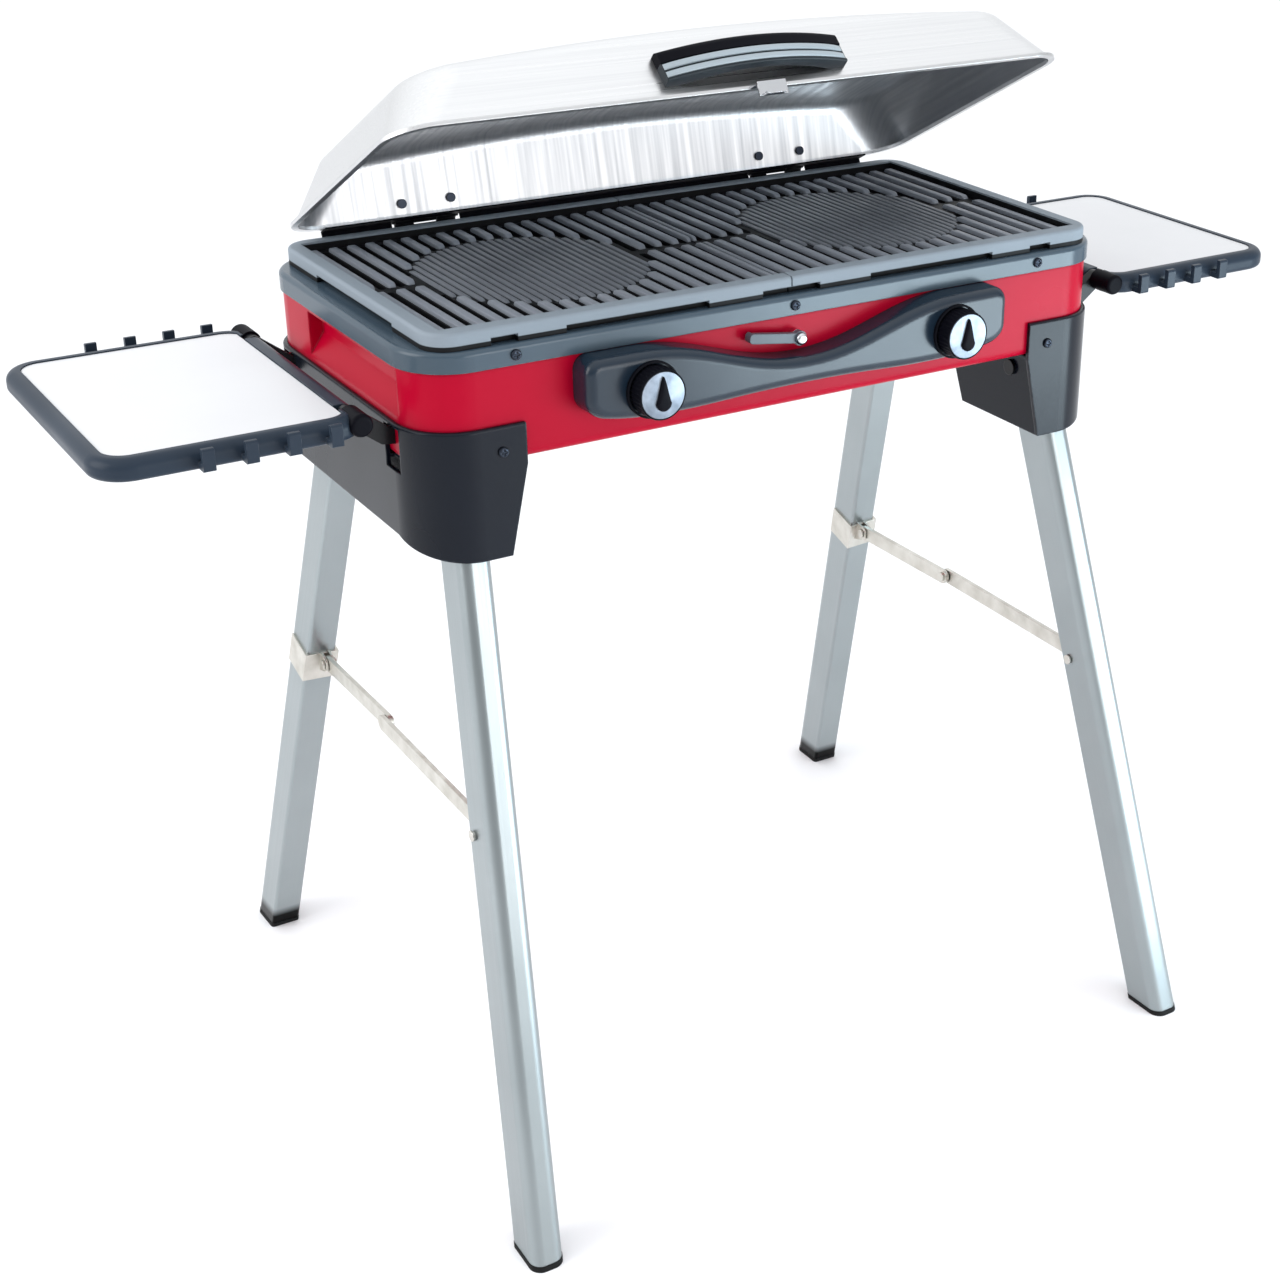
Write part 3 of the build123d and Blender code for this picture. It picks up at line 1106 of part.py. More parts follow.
nodes = {
    "firebox_shell": firebox_shell,
    "top_rim": top_rim,
    "drip_pan": drip_pan,
    "left_grill_plate": left_grill_plate,
    "right_grill_plate": right_grill_plate,
    "left_burner": left_burner,
    "right_burner": right_burner,
    "left_gas_valve": left_gas_valve,
    "right_gas_valve": right_gas_valve,
    "gas_manifold": gas_manifold,
    "gas_inlet": gas_inlet,
    "igniters": igniters,
    "fascia": fascia,
    "knob_bezels": knob_bezels,
    "left_knob": left_knob,
    "right_knob": right_knob,
    "left_knob_pointer": left_knob_pointer,
    "right_knob_pointer": right_knob_pointer,
    "latch_stud": latch_stud,
    "front_latch": front_latch,
    "left_end_housing": left_end_housing,
    "right_end_housing": right_end_housing,
    "case_screws": case_screws,
    "leg_pivot_pins": leg_pivot_pins,
    "left_front_leg": left_front_leg,
    "left_rear_leg": left_rear_leg,
    "right_front_leg": right_front_leg,
    "right_rear_leg": right_rear_leg,
    "left_front_foot": left_front_foot,
    "left_rear_foot": left_rear_foot,
    "right_front_foot": right_front_foot,
    "right_rear_foot": right_rear_foot,
    "left_stay_bracket": left_stay_bracket,
    "right_stay_bracket": right_stay_bracket,
    "left_stay_rear_bar": left_stay_rear_bar,
    "right_stay_rear_bar": right_stay_rear_bar,
    "left_stay_front_bar": left_stay_front_bar,
    "right_stay_front_bar": right_stay_front_bar,
    "left_stay_rear_rivets": left_stay_rear_rivets,
    "right_stay_rear_rivets": right_stay_rear_rivets,
    "left_stay_front_rivet": left_stay_front_rivet,
    "right_stay_front_rivet": right_stay_front_rivet,
    "table_brackets": table_brackets,
    "left_table_knuckles": left_table_knuckles,
    "right_table_knuckles": right_table_knuckles,
    "left_table_frame": left_table_frame,
    "right_table_frame": right_table_frame,
    "left_table_plate": left_table_plate,
    "right_table_plate": right_table_plate,
    "lid_shell": lid_shell,
    "lid_hinge_strip": lid_hinge_strip,
    "lid_handle": lid_handle,
    "lid_handle_grip": lid_handle_grip,
    "lid_catch": lid_catch,
    "lid_hinge_leaves": lid_hinge_leaves,
    "lid_hinge_screws": lid_hinge_screws,
    "body_hinge_leaves": body_hinge_leaves,
    "hinge_pins": hinge_pins,
}
for node, shape in nodes.items():
    export_step(shape, f"parts/{node}.step")
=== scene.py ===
import bpy
import json
import math
import numpy as np
from mathutils import Matrix, Vector


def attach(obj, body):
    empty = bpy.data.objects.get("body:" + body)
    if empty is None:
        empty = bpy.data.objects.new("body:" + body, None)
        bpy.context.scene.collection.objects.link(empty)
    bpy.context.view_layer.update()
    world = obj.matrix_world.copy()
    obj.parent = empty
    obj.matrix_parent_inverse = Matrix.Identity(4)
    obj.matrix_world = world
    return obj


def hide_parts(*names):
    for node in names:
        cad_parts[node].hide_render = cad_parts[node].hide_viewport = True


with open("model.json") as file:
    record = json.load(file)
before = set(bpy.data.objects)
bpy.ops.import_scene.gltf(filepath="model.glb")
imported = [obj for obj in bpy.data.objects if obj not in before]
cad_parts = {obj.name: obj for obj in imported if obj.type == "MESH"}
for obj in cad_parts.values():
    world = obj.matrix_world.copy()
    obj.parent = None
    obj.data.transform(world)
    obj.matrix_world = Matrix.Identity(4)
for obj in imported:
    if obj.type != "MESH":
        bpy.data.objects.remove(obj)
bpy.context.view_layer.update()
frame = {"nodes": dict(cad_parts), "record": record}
nodes = frame["nodes"]
scene = bpy.context.scene

# Sizes that follow the part's source, in metres and radians
PLATE_DECK = 0.722
SLOT_PITCH = 0.016
SLOTS_PER_PLATE = 18
CROSS_RIB_HALF = 0.005
BURNER_X = 0.155
DISC_RADIUS = 0.097
KNOB_X = 0.1435
KNOB_Z = 0.670
SHAFT_END = -0.127
HINGE_Y = 0.157
HINGE_Z = 0.733
LID_OPEN = math.radians(27.6)
LID_FRONT_Y = -0.136
LID_FRONT_Z = 0.735
LID_FRONT_SET_BACK = 0.0175
LID_FRONT_HEIGHT = 0.046
LID_FRONT_LEAN = math.atan(LID_FRONT_SET_BACK / LID_FRONT_HEIGHT)
HANDLE_UP_WALL = 0.005
HANDLE_HALF_LENGTH = 0.082
HANDLE_FOOT = 0.013
HANDLE_GAP = 0.0125
HANDLE_END_RISE = 0.008
HANDLE_MIDDLE_RISE = 0.019
HANDLE_HEIGHT = 0.019
SCREW_HEAD = 0.0042
SCREW_RISE = 0.0024
HOUSING_FRONT = -0.157
RIM_FRONT = -0.155
SCREW_PLACES = [
    (-0.260, HOUSING_FRONT, 0.635),
    (0.260, HOUSING_FRONT, 0.635),
    (-0.245, RIM_FRONT, 0.708),
    (0.0, RIM_FRONT, 0.708),
    (0.245, RIM_FRONT, 0.708),
]

# Camera of the photograph: image size, optical centre and focal length in pixels, place in metres,
# turns in degrees, and the width of the sensor in millimetres, as Blender takes it
IMAGE_SIZE = (1280.0, 1277.0)
OPTICAL_CENTRE = (799.1, 650.3)
FOCAL_PIXELS = 2123.6
CAMERA_PLACE = Vector((-0.89096, -1.52718, 1.19794))
CAMERA_YAW = 33.23
CAMERA_PITCH = 25.90
CAMERA_ROLL = 0.753
SENSOR_WIDTH = 36.0


def photo_camera():
    """Camera turned about Z by the yaw, tipped down by the pitch, then rolled about its line of sight."""
    yaw = math.radians(CAMERA_YAW)
    pitch = math.radians(CAMERA_PITCH)
    roll = math.radians(CAMERA_ROLL)
    forward = Vector((math.sin(yaw) * math.cos(pitch), math.cos(yaw) * math.cos(pitch), -math.sin(pitch)))
    level = Vector((math.cos(yaw), -math.sin(yaw), 0.0))
    upright = level.cross(forward)
    right = level * math.cos(roll) + upright * math.sin(roll)
    up = upright * math.cos(roll) - level * math.sin(roll)
    data = bpy.data.cameras.new("photo_camera")
    data.sensor_width = SENSOR_WIDTH
    data.lens = FOCAL_PIXELS / IMAGE_SIZE[0] * SENSOR_WIDTH
    data.shift_x = (IMAGE_SIZE[0] / 2 - OPTICAL_CENTRE[0]) / IMAGE_SIZE[0]
    data.shift_y = (OPTICAL_CENTRE[1] - IMAGE_SIZE[1] / 2) / IMAGE_SIZE[0]
    camera = bpy.data.objects.new("photo_camera", data)
    scene.collection.objects.link(camera)
    turn = Matrix((right, up, -forward)).transposed()
    camera.matrix_world = Matrix.Translation(CAMERA_PLACE) @ turn.to_4x4()
    scene.camera = camera


photo_camera()


# Ranges over which masks go from nought to one: of noise values, of the match between the rounded and
# the true normal, and in metres across a border
NOISE_RANGE = (0.3, 0.7)
FLECK_RANGE = (0.40, 0.60)
EDGE_RANGE = (0.99, 0.84)
FRAME_BLUR = 0.0004
FOOT_BLUR = 0.0006
DARK_END_RANGE = (0.006, -0.004)
INSIDE_RANGE = (-0.004, 0.004)

# Where the light frame of the grill plates begins, and a point well inside the open lid, in metres
FRAME_TOP = 0.7283
FRAME_FOOT = 0.7195
FRAME_INNER_Y = 0.1385
FRAME_INNER_X = 0.2985
LID_MIDDLE = (0.0, 0.028, 0.814)

COAT_ROUGHNESS = 0.06
DARK_END_COLOUR = (0.004, 0.004, 0.004)


# Node tools
def place(tree, kind, inputs=None, **settings):
    """New node with its settings, and its inputs set or linked by name."""
    node = tree.nodes.new(kind)
    for key, value in settings.items():
        setattr(node, key, value)
    for key, value in (inputs or {}).items():
        if hasattr(value, "is_output"):
            tree.links.new(value, node.inputs[key])
        else:
            node.inputs[key].default_value = value
    return node


def new_group(name, inputs, outputs):
    """Empty node group with named sockets: numbers and vectors in, numbers and normals out."""
    tree = bpy.data.node_groups.new(name, "ShaderNodeTree")
    kinds = {float: "NodeSocketFloat", tuple: "NodeSocketVector"}
    for key, value in inputs.items():
        socket = tree.interface.new_socket(name=key, in_out="INPUT", socket_type=kinds[type(value)])
        socket.default_value = value
    for key in outputs:
        kind = "NodeSocketVector" if key == "Normal" else "NodeSocketFloat"
        tree.interface.new_socket(name=key, in_out="OUTPUT", socket_type=kind)
    return tree, tree.nodes.new("NodeGroupInput").outputs, tree.nodes.new("NodeGroupOutput").inputs


def stretched(tree, value, low, high):
    """Value spread so that low becomes 0 and high becomes 1."""
    spread = place(tree, "ShaderNodeMapRange", {"Value": value, "From Min": low, "From Max": high})
    return spread.outputs["Result"]


def joined(tree, first, second, how="MULTIPLY"):
    """Two masks multiplied, or the larger of the two."""
    node = place(tree, "ShaderNodeMath", operation=how)
    tree.links.new(first, node.inputs[0])
    tree.links.new(second, node.inputs[1])
    return node.outputs["Value"]


def grain_group():
    """Fine grain as a height, and slow patches for colour and gloss."""
    inputs = {"Grain Scale": 900.0, "Patch Scale": 9.0}
    tree, given, result = new_group("grain", inputs, ["Height", "Patches"])
    where = tree.nodes.new("ShaderNodeTexCoord").outputs["Object"]
    fine = place(tree, "ShaderNodeTexNoise", {"Vector": where, "Scale": given["Grain Scale"], "Detail": 3.0})
    slow = place(tree, "ShaderNodeTexNoise", {"Vector": where, "Scale": given["Patch Scale"], "Detail": 5.0})
    tree.links.new(fine.outputs["Fac"], result["Height"])
    tree.links.new(stretched(tree, slow.outputs["Fac"], *NOISE_RANGE), result["Patches"])
    return tree


def brush_group():
    """Long thin lines: noise turned to lie along the piece, then squeezed across it."""
    inputs = {"Turn": (0.0, 0.0, 0.0), "Squeeze": (4.0, 900.0, 900.0)}
    tree, given, result = new_group("brushed_lines", inputs, ["Height", "Lines"])
    where = tree.nodes.new("ShaderNodeTexCoord").outputs["Object"]
    turned = place(tree, "ShaderNodeMapping", {"Vector": where, "Rotation": given["Turn"]})
    drawn = place(tree, "ShaderNodeMapping", {"Vector": turned.outputs["Vector"], "Scale": given["Squeeze"]})
    squeezed = drawn.outputs["Vector"]
    lines = place(tree, "ShaderNodeTexNoise", {"Vector": squeezed, "Scale": 1.0, "Detail": 4.0})
    tree.links.new(lines.outputs["Fac"], result["Height"])
    tree.links.new(stretched(tree, lines.outputs["Fac"], *NOISE_RANGE), result["Lines"])
    return tree


def edge_group():
    """Soft edges: the normal rounded over a small reach, and rubbed flecks, also a painted highlight, where
    it leaves the true one.
    """
    inputs = {"Reach": 0.0010, "Amount": 0.5}
    tree, given, result = new_group("soft_edges", inputs, ["Normal", "Rubbed_And_Highlit"])
    where = tree.nodes.new("ShaderNodeTexCoord").outputs["Object"]
    rounded = place(tree, "ShaderNodeBevel", {"Radius": given["Reach"]}, samples=4)
    true_normal = tree.nodes.new("ShaderNodeNewGeometry").outputs["Normal"]
    match = place(tree, "ShaderNodeVectorMath", operation="DOT_PRODUCT")
    tree.links.new(rounded.outputs["Normal"], match.inputs[0])
    tree.links.new(true_normal, match.inputs[1])
    edge = stretched(tree, match.outputs["Value"], *EDGE_RANGE)
    flecks = place(tree, "ShaderNodeTexNoise", {"Vector": where, "Scale": 160.0, "Detail": 4.0})
    broken = stretched(tree, flecks.outputs["Fac"], *FLECK_RANGE)
    tree.links.new(joined(tree, joined(tree, edge, broken), given["Amount"]), result["Rubbed_And_Highlit"])
    tree.links.new(rounded.outputs["Normal"], result["Normal"])
    return tree


GRAIN = grain_group()
BRUSH = brush_group()
EDGES = edge_group()


def use_group(tree, group, values):
    """One use of a shared group with its own values."""
    node = tree.nodes.new("ShaderNodeGroup")
    node.node_tree = group
    for key, value in values.items():
        node.inputs[key].default_value = value
    return node.outputs


def mixed(tree, amount, first, second):
    """Colour between two colours, by a mask."""
    node = place(tree, "ShaderNodeMix", data_type="RGBA")
    colours = {socket.name: socket for socket in node.inputs if socket.type == "RGBA"}
    tree.links.new(amount, node.inputs["Factor"])
    for key, colour in (("A", first), ("B", second)):
        if hasattr(colour, "is_output"):
            tree.links.new(colour, colours[key])
        else:
            colours[key].default_value = (*colour, 1.0)
    return [socket for socket in node.outputs if socket.type == "RGBA"][0]


def frame_mask(tree):
    """One on a plate's frame: higher than the bars or outside their field, and above its own foot."""
    where = tree.nodes.new("ShaderNodeTexCoord").outputs["Object"]
    axes = place(tree, "ShaderNodeSeparateXYZ", {"Vector": where}).outputs
    mask = stretched(tree, axes["Z"], FRAME_TOP, FRAME_TOP + FRAME_BLUR)
    for axis, inner in (("X", FRAME_INNER_X), ("Y", FRAME_INNER_Y)):
        distance = place(tree, "ShaderNodeMath", operation="ABSOLUTE")
        tree.links.new(axes[axis], distance.inputs[0])
        outside = stretched(tree, distance.outputs["Value"], inner, inner + FRAME_BLUR)
        mask = joined(tree, mask, outside, "MAXIMUM")
    above_foot = stretched(tree, axes["Z"], FRAME_FOOT, FRAME_FOOT + FOOT_BLUR)
    return joined(tree, mask, above_foot)


def low_end_mask(tree, level):
    """One below a level, nought above it."""
    where = tree.nodes.new("ShaderNodeTexCoord").outputs["Object"]
    height = place(tree, "ShaderNodeSeparateXYZ", {"Vector": where}).outputs["Z"]
    clear, dark = DARK_END_RANGE
    return stretched(tree, height, level + clear, level + dark)


def inside_mask(tree):
    """One on the lid's inner faces: their normals point towards the middle of the lid."""
    where = tree.nodes.new("ShaderNodeTexCoord").outputs["Object"]
    facing = tree.nodes.new("ShaderNodeNewGeometry").outputs["Normal"]
    normal = place(
        tree,
        "ShaderNodeVectorTransform",
        {"Vector": facing},
        vector_type="NORMAL",
        convert_from="WORLD",
        convert_to="OBJECT",
    )
    inward = place(tree, "ShaderNodeVectorMath", operation="SUBTRACT")
    inward.inputs[0].default_value = LID_MIDDLE
    tree.links.new(where, inward.inputs[1])
    match = place(tree, "ShaderNodeVectorMath", operation="DOT_PRODUCT")
    tree.links.new(normal.outputs["Vector"], match.inputs[0])
    tree.links.new(inward.outputs["Vector"], match.inputs[1])
    return stretched(tree, match.outputs["Value"], *INSIDE_RANGE)


def finish(
    name,
    colour,
    shade,
    rough,
    metal=0.0,
    coat=0.0,
    grain=1200.0,
    patch=9.0,
    brush=None,
    turn=(0.0, 0.0, 0.0),
    bump=0.10,
    depth=0.0002,
    worn_and_highlit=None,
    wear_and_highlight=0.5,
    edge=0.0010,
    frame_colour=None,
    dark_below=None,
    specular=0.5,
):
    """Two tones in patches, grain or brushed lines in the bump, gloss that varies, soft rubbed edges with
    painted highlights.

    Rough is the lowest and the highest roughness, brush the squeeze of the lines along each axis, turn
    their slope, edge the reach of the rounding, and the worn colour that of rubbed edges with a painted
    highlight along them, by the wear amount. A frame colour goes on the frame of a grill plate, and what
    lies below the level dark_below is nearly black.
    """
    material = bpy.data.materials.new(name)
    material.use_nodes = True
    tree = material.node_tree
    shader = tree.nodes["Principled BSDF"]
    shader.inputs["Metallic"].default_value = metal
    shader.inputs["Specular IOR Level"].default_value = specular
    if coat:
        shader.inputs["Coat Weight"].default_value = coat
        shader.inputs["Coat Roughness"].default_value = COAT_ROUGHNESS
    speckle = use_group(tree, GRAIN, {"Grain Scale": grain, "Patch Scale": patch})
    height = speckle["Height"]
    gloss = speckle["Patches"]
    if brush:
        lines = use_group(tree, BRUSH, {"Squeeze": brush, "Turn": turn})
        height = lines["Height"]
        gloss = lines["Lines"]
    edges = use_group(tree, EDGES, {"Reach": edge, "Amount": wear_and_highlight})
    base = mixed(tree, speckle["Patches"], colour, shade)
    if frame_colour:
        base = mixed(tree, frame_mask(tree), base, frame_colour)
    if dark_below:
        base = mixed(tree, low_end_mask(tree, dark_below), base, DARK_END_COLOUR)
    # Edges rubbed, and lightened further as a painted highlight
    base = mixed(tree, edges["Rubbed_And_Highlit"], base, worn_and_highlit or colour)
    tree.links.new(base, shader.inputs["Base Color"])
    sheen = place(tree, "ShaderNodeMapRange", {"Value": gloss, "To Min": rough[0], "To Max": rough[1]})
    tree.links.new(sheen.outputs["Result"], shader.inputs["Roughness"])
    relief = place(
        tree,
        "ShaderNodeBump",
        {"Height": height, "Strength": bump, "Distance": depth, "Normal": edges["Normal"]},
    )
    tree.links.new(relief.outputs["Normal"], shader.inputs["Normal"])
    return material


def lid_finish():
    """Brushed steel: lines along the lid outside, lines up the walls inside that vary the gloss and paint
    reflected streaks into the colour, and a paler tone inside as painted light.
    """
    material = bpy.data.materials.new("lid_steel")
    material.use_nodes = True
    tree = material.node_tree
    shader = tree.nodes["Principled BSDF"]
    inside = inside_mask(tree)
    along = use_group(tree, BRUSH, {"Squeeze": (3.0, 700.0, 700.0)})
    upward = use_group(tree, BRUSH, {"Squeeze": (260.0, 5.0, 5.0)})
    edges = use_group(tree, EDGES, {"Reach": 0.0010, "Amount": 0.3})
    outer = mixed(tree, along["Lines"], (0.74, 0.74, 0.74), (0.69, 0.69, 0.695))
    # Inside: paler than outside as painted light, with upright streaks painted in as reflections
    inner = mixed(tree, upward["Lines"], (0.90, 0.90, 0.91), (0.66, 0.67, 0.69))
    base = mixed(tree, inside, outer, inner)
    # Lighter edges: rubbed wear and a painted highlight
    base = mixed(tree, edges["Rubbed_And_Highlit"], base, (0.86, 0.86, 0.86))
    tree.links.new(base, shader.inputs["Base Color"])
    gloss = place(tree, "ShaderNodeMapRange", {"Value": along["Lines"], "To Min": 0.26, "To Max": 0.36})
    soft = place(tree, "ShaderNodeMapRange", {"Value": upward["Lines"], "To Min": 0.32, "To Max": 0.44})
    rough = place(
        tree,
        "ShaderNodeMix",
        {"Factor": inside, "A": gloss.outputs["Result"], "B": soft.outputs["Result"]},
        data_type="FLOAT",
    )
    tree.links.new(rough.outputs["Result"], shader.inputs["Roughness"])
    metal = place(tree, "ShaderNodeMapRange", {"Value": inside, "To Min": 1.0, "To Max": 0.96})
    tree.links.new(metal.outputs["Result"], shader.inputs["Metallic"])
    relief = place(
        tree,
        "ShaderNodeBump",
        {"Height": along["Height"], "Strength": 0.05, "Distance": 0.0001, "Normal": edges["Normal"]},
    )
    tree.links.new(relief.outputs["Normal"], shader.inputs["Normal"])
    return material


# Finishes of the material slots: name, colour, second tone, range of roughness, then what else differs
# The worn colours light the edges both as rubbed wear and as a painted highlight
finishes = {
    "firebox_paint": finish(
        "firebox_paint", (0.43, 0.0006, 0.022), (0.38, 0.0005, 0.018), (0.26, 0.34), specular=0.09,
        grain=420.0, patch=6.0, bump=0.03, depth=0.0002, worn_and_highlit=(0.64, 0.03, 0.05), wear_and_highlight=0.4, edge=0.003,
    ),
    "rim_grey": finish(
        "rim_grey", (0.050, 0.078, 0.106), (0.043, 0.068, 0.092), (0.20, 0.28), specular=0.4,
        worn_and_highlit=(0.30, 0.34, 0.38),
    ),
    "housing_grey": finish(
        "housing_grey", (0.0045, 0.0070, 0.0135), (0.0035, 0.0055, 0.0105), (0.20, 0.30), specular=0.20,
        bump=0.14, worn_and_highlit=(0.12, 0.14, 0.16), wear_and_highlight=0.8, edge=0.0016,
    ),
    "fascia_grey": finish(
        "fascia_grey", (0.010, 0.021, 0.036), (0.008, 0.017, 0.030), (0.16, 0.24), specular=0.40,
        worn_and_highlit=(0.10, 0.13, 0.16), edge=0.002,
    ),
    "plate_iron": finish(
        "plate_iron", (0.0060, 0.0066, 0.0080), (0.0040, 0.0044, 0.0054), (0.45, 0.65), specular=0.15,
        grain=700.0, patch=14.0, bump=0.30, depth=0.0004, frame_colour=(0.24, 0.28, 0.32),
    ),
    "lid_steel": lid_finish(),
    "black_plastic": finish(
        "black_plastic", (0.0036, 0.0038, 0.0070), (0.0028, 0.0029, 0.0050), (0.44, 0.58), specular=0.06,
        bump=0.14, worn_and_highlit=(0.030, 0.032, 0.040),
    ),
    "black_steel": finish(
        "black_steel", (0.0060, 0.0066, 0.0085), (0.0045, 0.0050, 0.0065), (0.30, 0.42), specular=0.25,
        bump=0.12, worn_and_highlit=(0.09, 0.09, 0.10), wear_and_highlight=0.6,
    ),
    "handle_grey": finish(
        "handle_grey", (0.014, 0.020, 0.026), (0.010, 0.015, 0.020), (0.32, 0.46), specular=0.25,
        worn_and_highlit=(0.10, 0.12, 0.13), wear_and_highlight=0.6,
    ),
    "foot_rubber": finish(
        "foot_rubber", (0.0050, 0.0050, 0.0052), (0.0090, 0.0090, 0.0092), (0.60, 0.78), specular=0.2,
        grain=900.0, bump=0.3,
    ),
    "zinc_steel": finish(
        "zinc_steel", (0.66, 0.64, 0.59), (0.54, 0.52, 0.47), (0.30, 0.48), metal=1.0,
        grain=500.0, patch=60.0, bump=0.08,
    ),
    "bright_steel": finish(
        "bright_steel", (0.70, 0.71, 0.73), (0.60, 0.61, 0.63), (0.10, 0.22), metal=1.0,
        bump=0.04, edge=0.0004,
    ),
    "knob_silver": finish(
        "knob_silver", (0.28, 0.31, 0.36), (0.12, 0.14, 0.17), (0.34, 0.46), metal=1.0,
        patch=70.0, brush=(1500.0, 6.0, 6.0), bump=0.10, edge=0.0005,
    ),
    "latch_grey": finish(
        "latch_grey", (0.070, 0.092, 0.115), (0.058, 0.078, 0.098), (0.30, 0.42),
        worn_and_highlit=(0.26, 0.29, 0.32),
    ),
    "table_frame_grey": finish(
        "table_frame_grey", (0.025, 0.037, 0.056), (0.020, 0.030, 0.046), (0.28, 0.40), specular=0.15,
        bump=0.12, worn_and_highlit=(0.16, 0.18, 0.21),
    ),
    "table_plate": finish(
        "table_plate", (0.71, 0.71, 0.725), (0.67, 0.67, 0.685), (0.30, 0.42), coat=0.1,
        patch=5.0, bump=0.05,
    ),
    "brass": finish(
        "brass", (0.62, 0.45, 0.18), (0.52, 0.36, 0.13), (0.24, 0.40), metal=1.0,
        grain=600.0, bump=0.08,
    ),
    "burner_steel": finish(
        "burner_steel", (0.42, 0.42, 0.43), (0.33, 0.32, 0.31), (0.34, 0.52), metal=1.0,
        brush=(300.0, 300.0, 20.0),
    ),
    "pan_metal": finish(
        "pan_metal", (0.60, 0.61, 0.62), (0.50, 0.51, 0.52), (0.30, 0.46), metal=1.0,
        brush=(5.0, 600.0, 600.0),
    ),
    "igniter_white": finish(
        "igniter_white", (0.82, 0.80, 0.74), (0.74, 0.71, 0.64), (0.16, 0.30), coat=0.5,
        grain=600.0, bump=0.05,
    ),
}

# Finishes beside those of the material slots: plate bars, disc ribs, handle ribs and dark screws
bar_finish = finish(
    "bar_iron", (0.235, 0.256, 0.294), (0.195, 0.214, 0.248), (0.34, 0.52), specular=0.4,
    grain=700.0, patch=14.0, bump=0.25, depth=0.0003, worn_and_highlit=(0.26, 0.28, 0.31), wear_and_highlight=0.7,
)
disc_finish = finish(
    "disc_iron", (0.160, 0.175, 0.200), (0.130, 0.142, 0.164), (0.34, 0.50), specular=0.4,
    grain=700.0, patch=14.0, bump=0.25, depth=0.0003, worn_and_highlit=(0.20, 0.21, 0.23), wear_and_highlight=0.6,
)
rib_finish = finish(
    "handle_rib_grey", (0.36, 0.42, 0.46), (0.31, 0.365, 0.40), (0.28, 0.40),
    worn_and_highlit=(0.52, 0.56, 0.58), edge=0.0008,
)
screw_finish = finish(
    "dark_screw", (0.036, 0.042, 0.055), (0.025, 0.030, 0.042), (0.24, 0.36), metal=1.0,
    worn_and_highlit=(0.22, 0.23, 0.25), edge=0.0005,
)

# The legs are drawn tubes: the lines of each follow its own slope, and the rear ones end dark
LEG_LEAN = math.radians(16.9)
LEG_SPLAY = math.radians(4.5)
REAR_FOOT_DARK = 0.018
leg_finishes = {}
for end_name, end in (("left", -1), ("right", 1)):
    for side_name, side in (("front", -1), ("rear", 1)):
        leg_name = end_name + "_" + side_name + "_leg"
        leg_finishes[leg_name] = finish(
            leg_name + "_aluminium", (0.35, 0.385, 0.395), (0.31, 0.345, 0.355), (0.28, 0.38), metal=0.9,
            brush=(900.0, 900.0, 5.0), turn=(-side * LEG_LEAN, end * LEG_SPLAY, 0.0),
            bump=0.08, depth=0.0001, dark_below=REAR_FOOT_DARK if side > 0 else None,
        )

own_finishes = {**leg_finishes, "lid_hinge_screws": screw_finish}
for row in frame["record"]["subparts"]:
    mesh = nodes[row["node"]].data
    mesh.materials.clear()
    mesh.materials.append(own_finishes.get(row["node"]) or finishes[row["material_slot"]])


# Surfaces
def tubes(name, rings, material, body, smooth=40.0):
    """Closed tubes: rings of points joined row to row and round each ring, the two end rings filled."""
    count, rows, columns, _ = rings.shape
    index = np.arange(count * rows * columns).reshape(count, rows, columns)
    here = index[:, :-1]
    ahead = index[:, 1:]
    corners = [here, np.roll(here, -1, axis=2), np.roll(ahead, -1, axis=2), ahead]
    sides = np.stack(corners, axis=-1).reshape(-1, 4)
    ends = np.concatenate([index[:, 0, ::-1], index[:, -1]])
    mesh = bpy.data.meshes.new(name)
    mesh.from_pydata(rings.reshape(-1, 3).tolist(), [], sides.tolist() + ends.tolist())
    mesh.shade_smooth()
    mesh.set_sharp_from_angle(angle=math.radians(smooth))
    mesh.materials.append(material)
    piece = bpy.data.objects.new(name, mesh)
    scene.collection.objects.link(piece)
    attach(piece, body)
    return piece


RIDGE_END_WIDTH = 0.55
RIDGE_SUNK = 0.0004


def ridges(centre, half_width, rise, start, stop):
    """Rounded ridges running from start to stop along -Y: one profile across, sinking at both ends."""
    across = np.array([-1.0, 1.0, 0.96, 0.84, 0.60, -0.60, -0.84, -0.96])
    upward = np.array([0.0, 0.0, 0.62, 0.92, 1.0, 1.0, 0.92, 0.62])
    inset = np.array([0.0, 0.0022, 0.0048])
    swell = np.array([0.30, 0.82, 1.0, 1.0, 0.82, 0.30])
    along = np.concatenate([start[:, None] - inset, stop[:, None] + inset[::-1]], axis=1)
    narrow = RIDGE_END_WIDTH + (1 - RIDGE_END_WIDTH) * swell
    x = centre[:, None, None] + half_width[:, None, None] * narrow[:, None] * across
    y = along[:, :, None]
    z = PLATE_DECK - RIDGE_SUNK + (rise + RIDGE_SUNK) * swell[:, None] * upward
    return np.stack(np.broadcast_arrays(x, y, z), axis=-1)


BAR_END = 0.1335
BAR_HALF_WIDTH = 0.0037
BAR_RISE = 0.0034
BAR_GAP = 0.001
DISC_RIB_PITCH = 0.0072
DISC_RIBS_EACH_WAY = 12
DISC_RIB_HALF_WIDTH = 0.0024
DISC_RIB_RISE = 0.0015
SEAM_BAR_X = 0.0029
SEAM_BAR_HALF_WIDTH = 0.0021
LAST_BAR_X = 0.2895


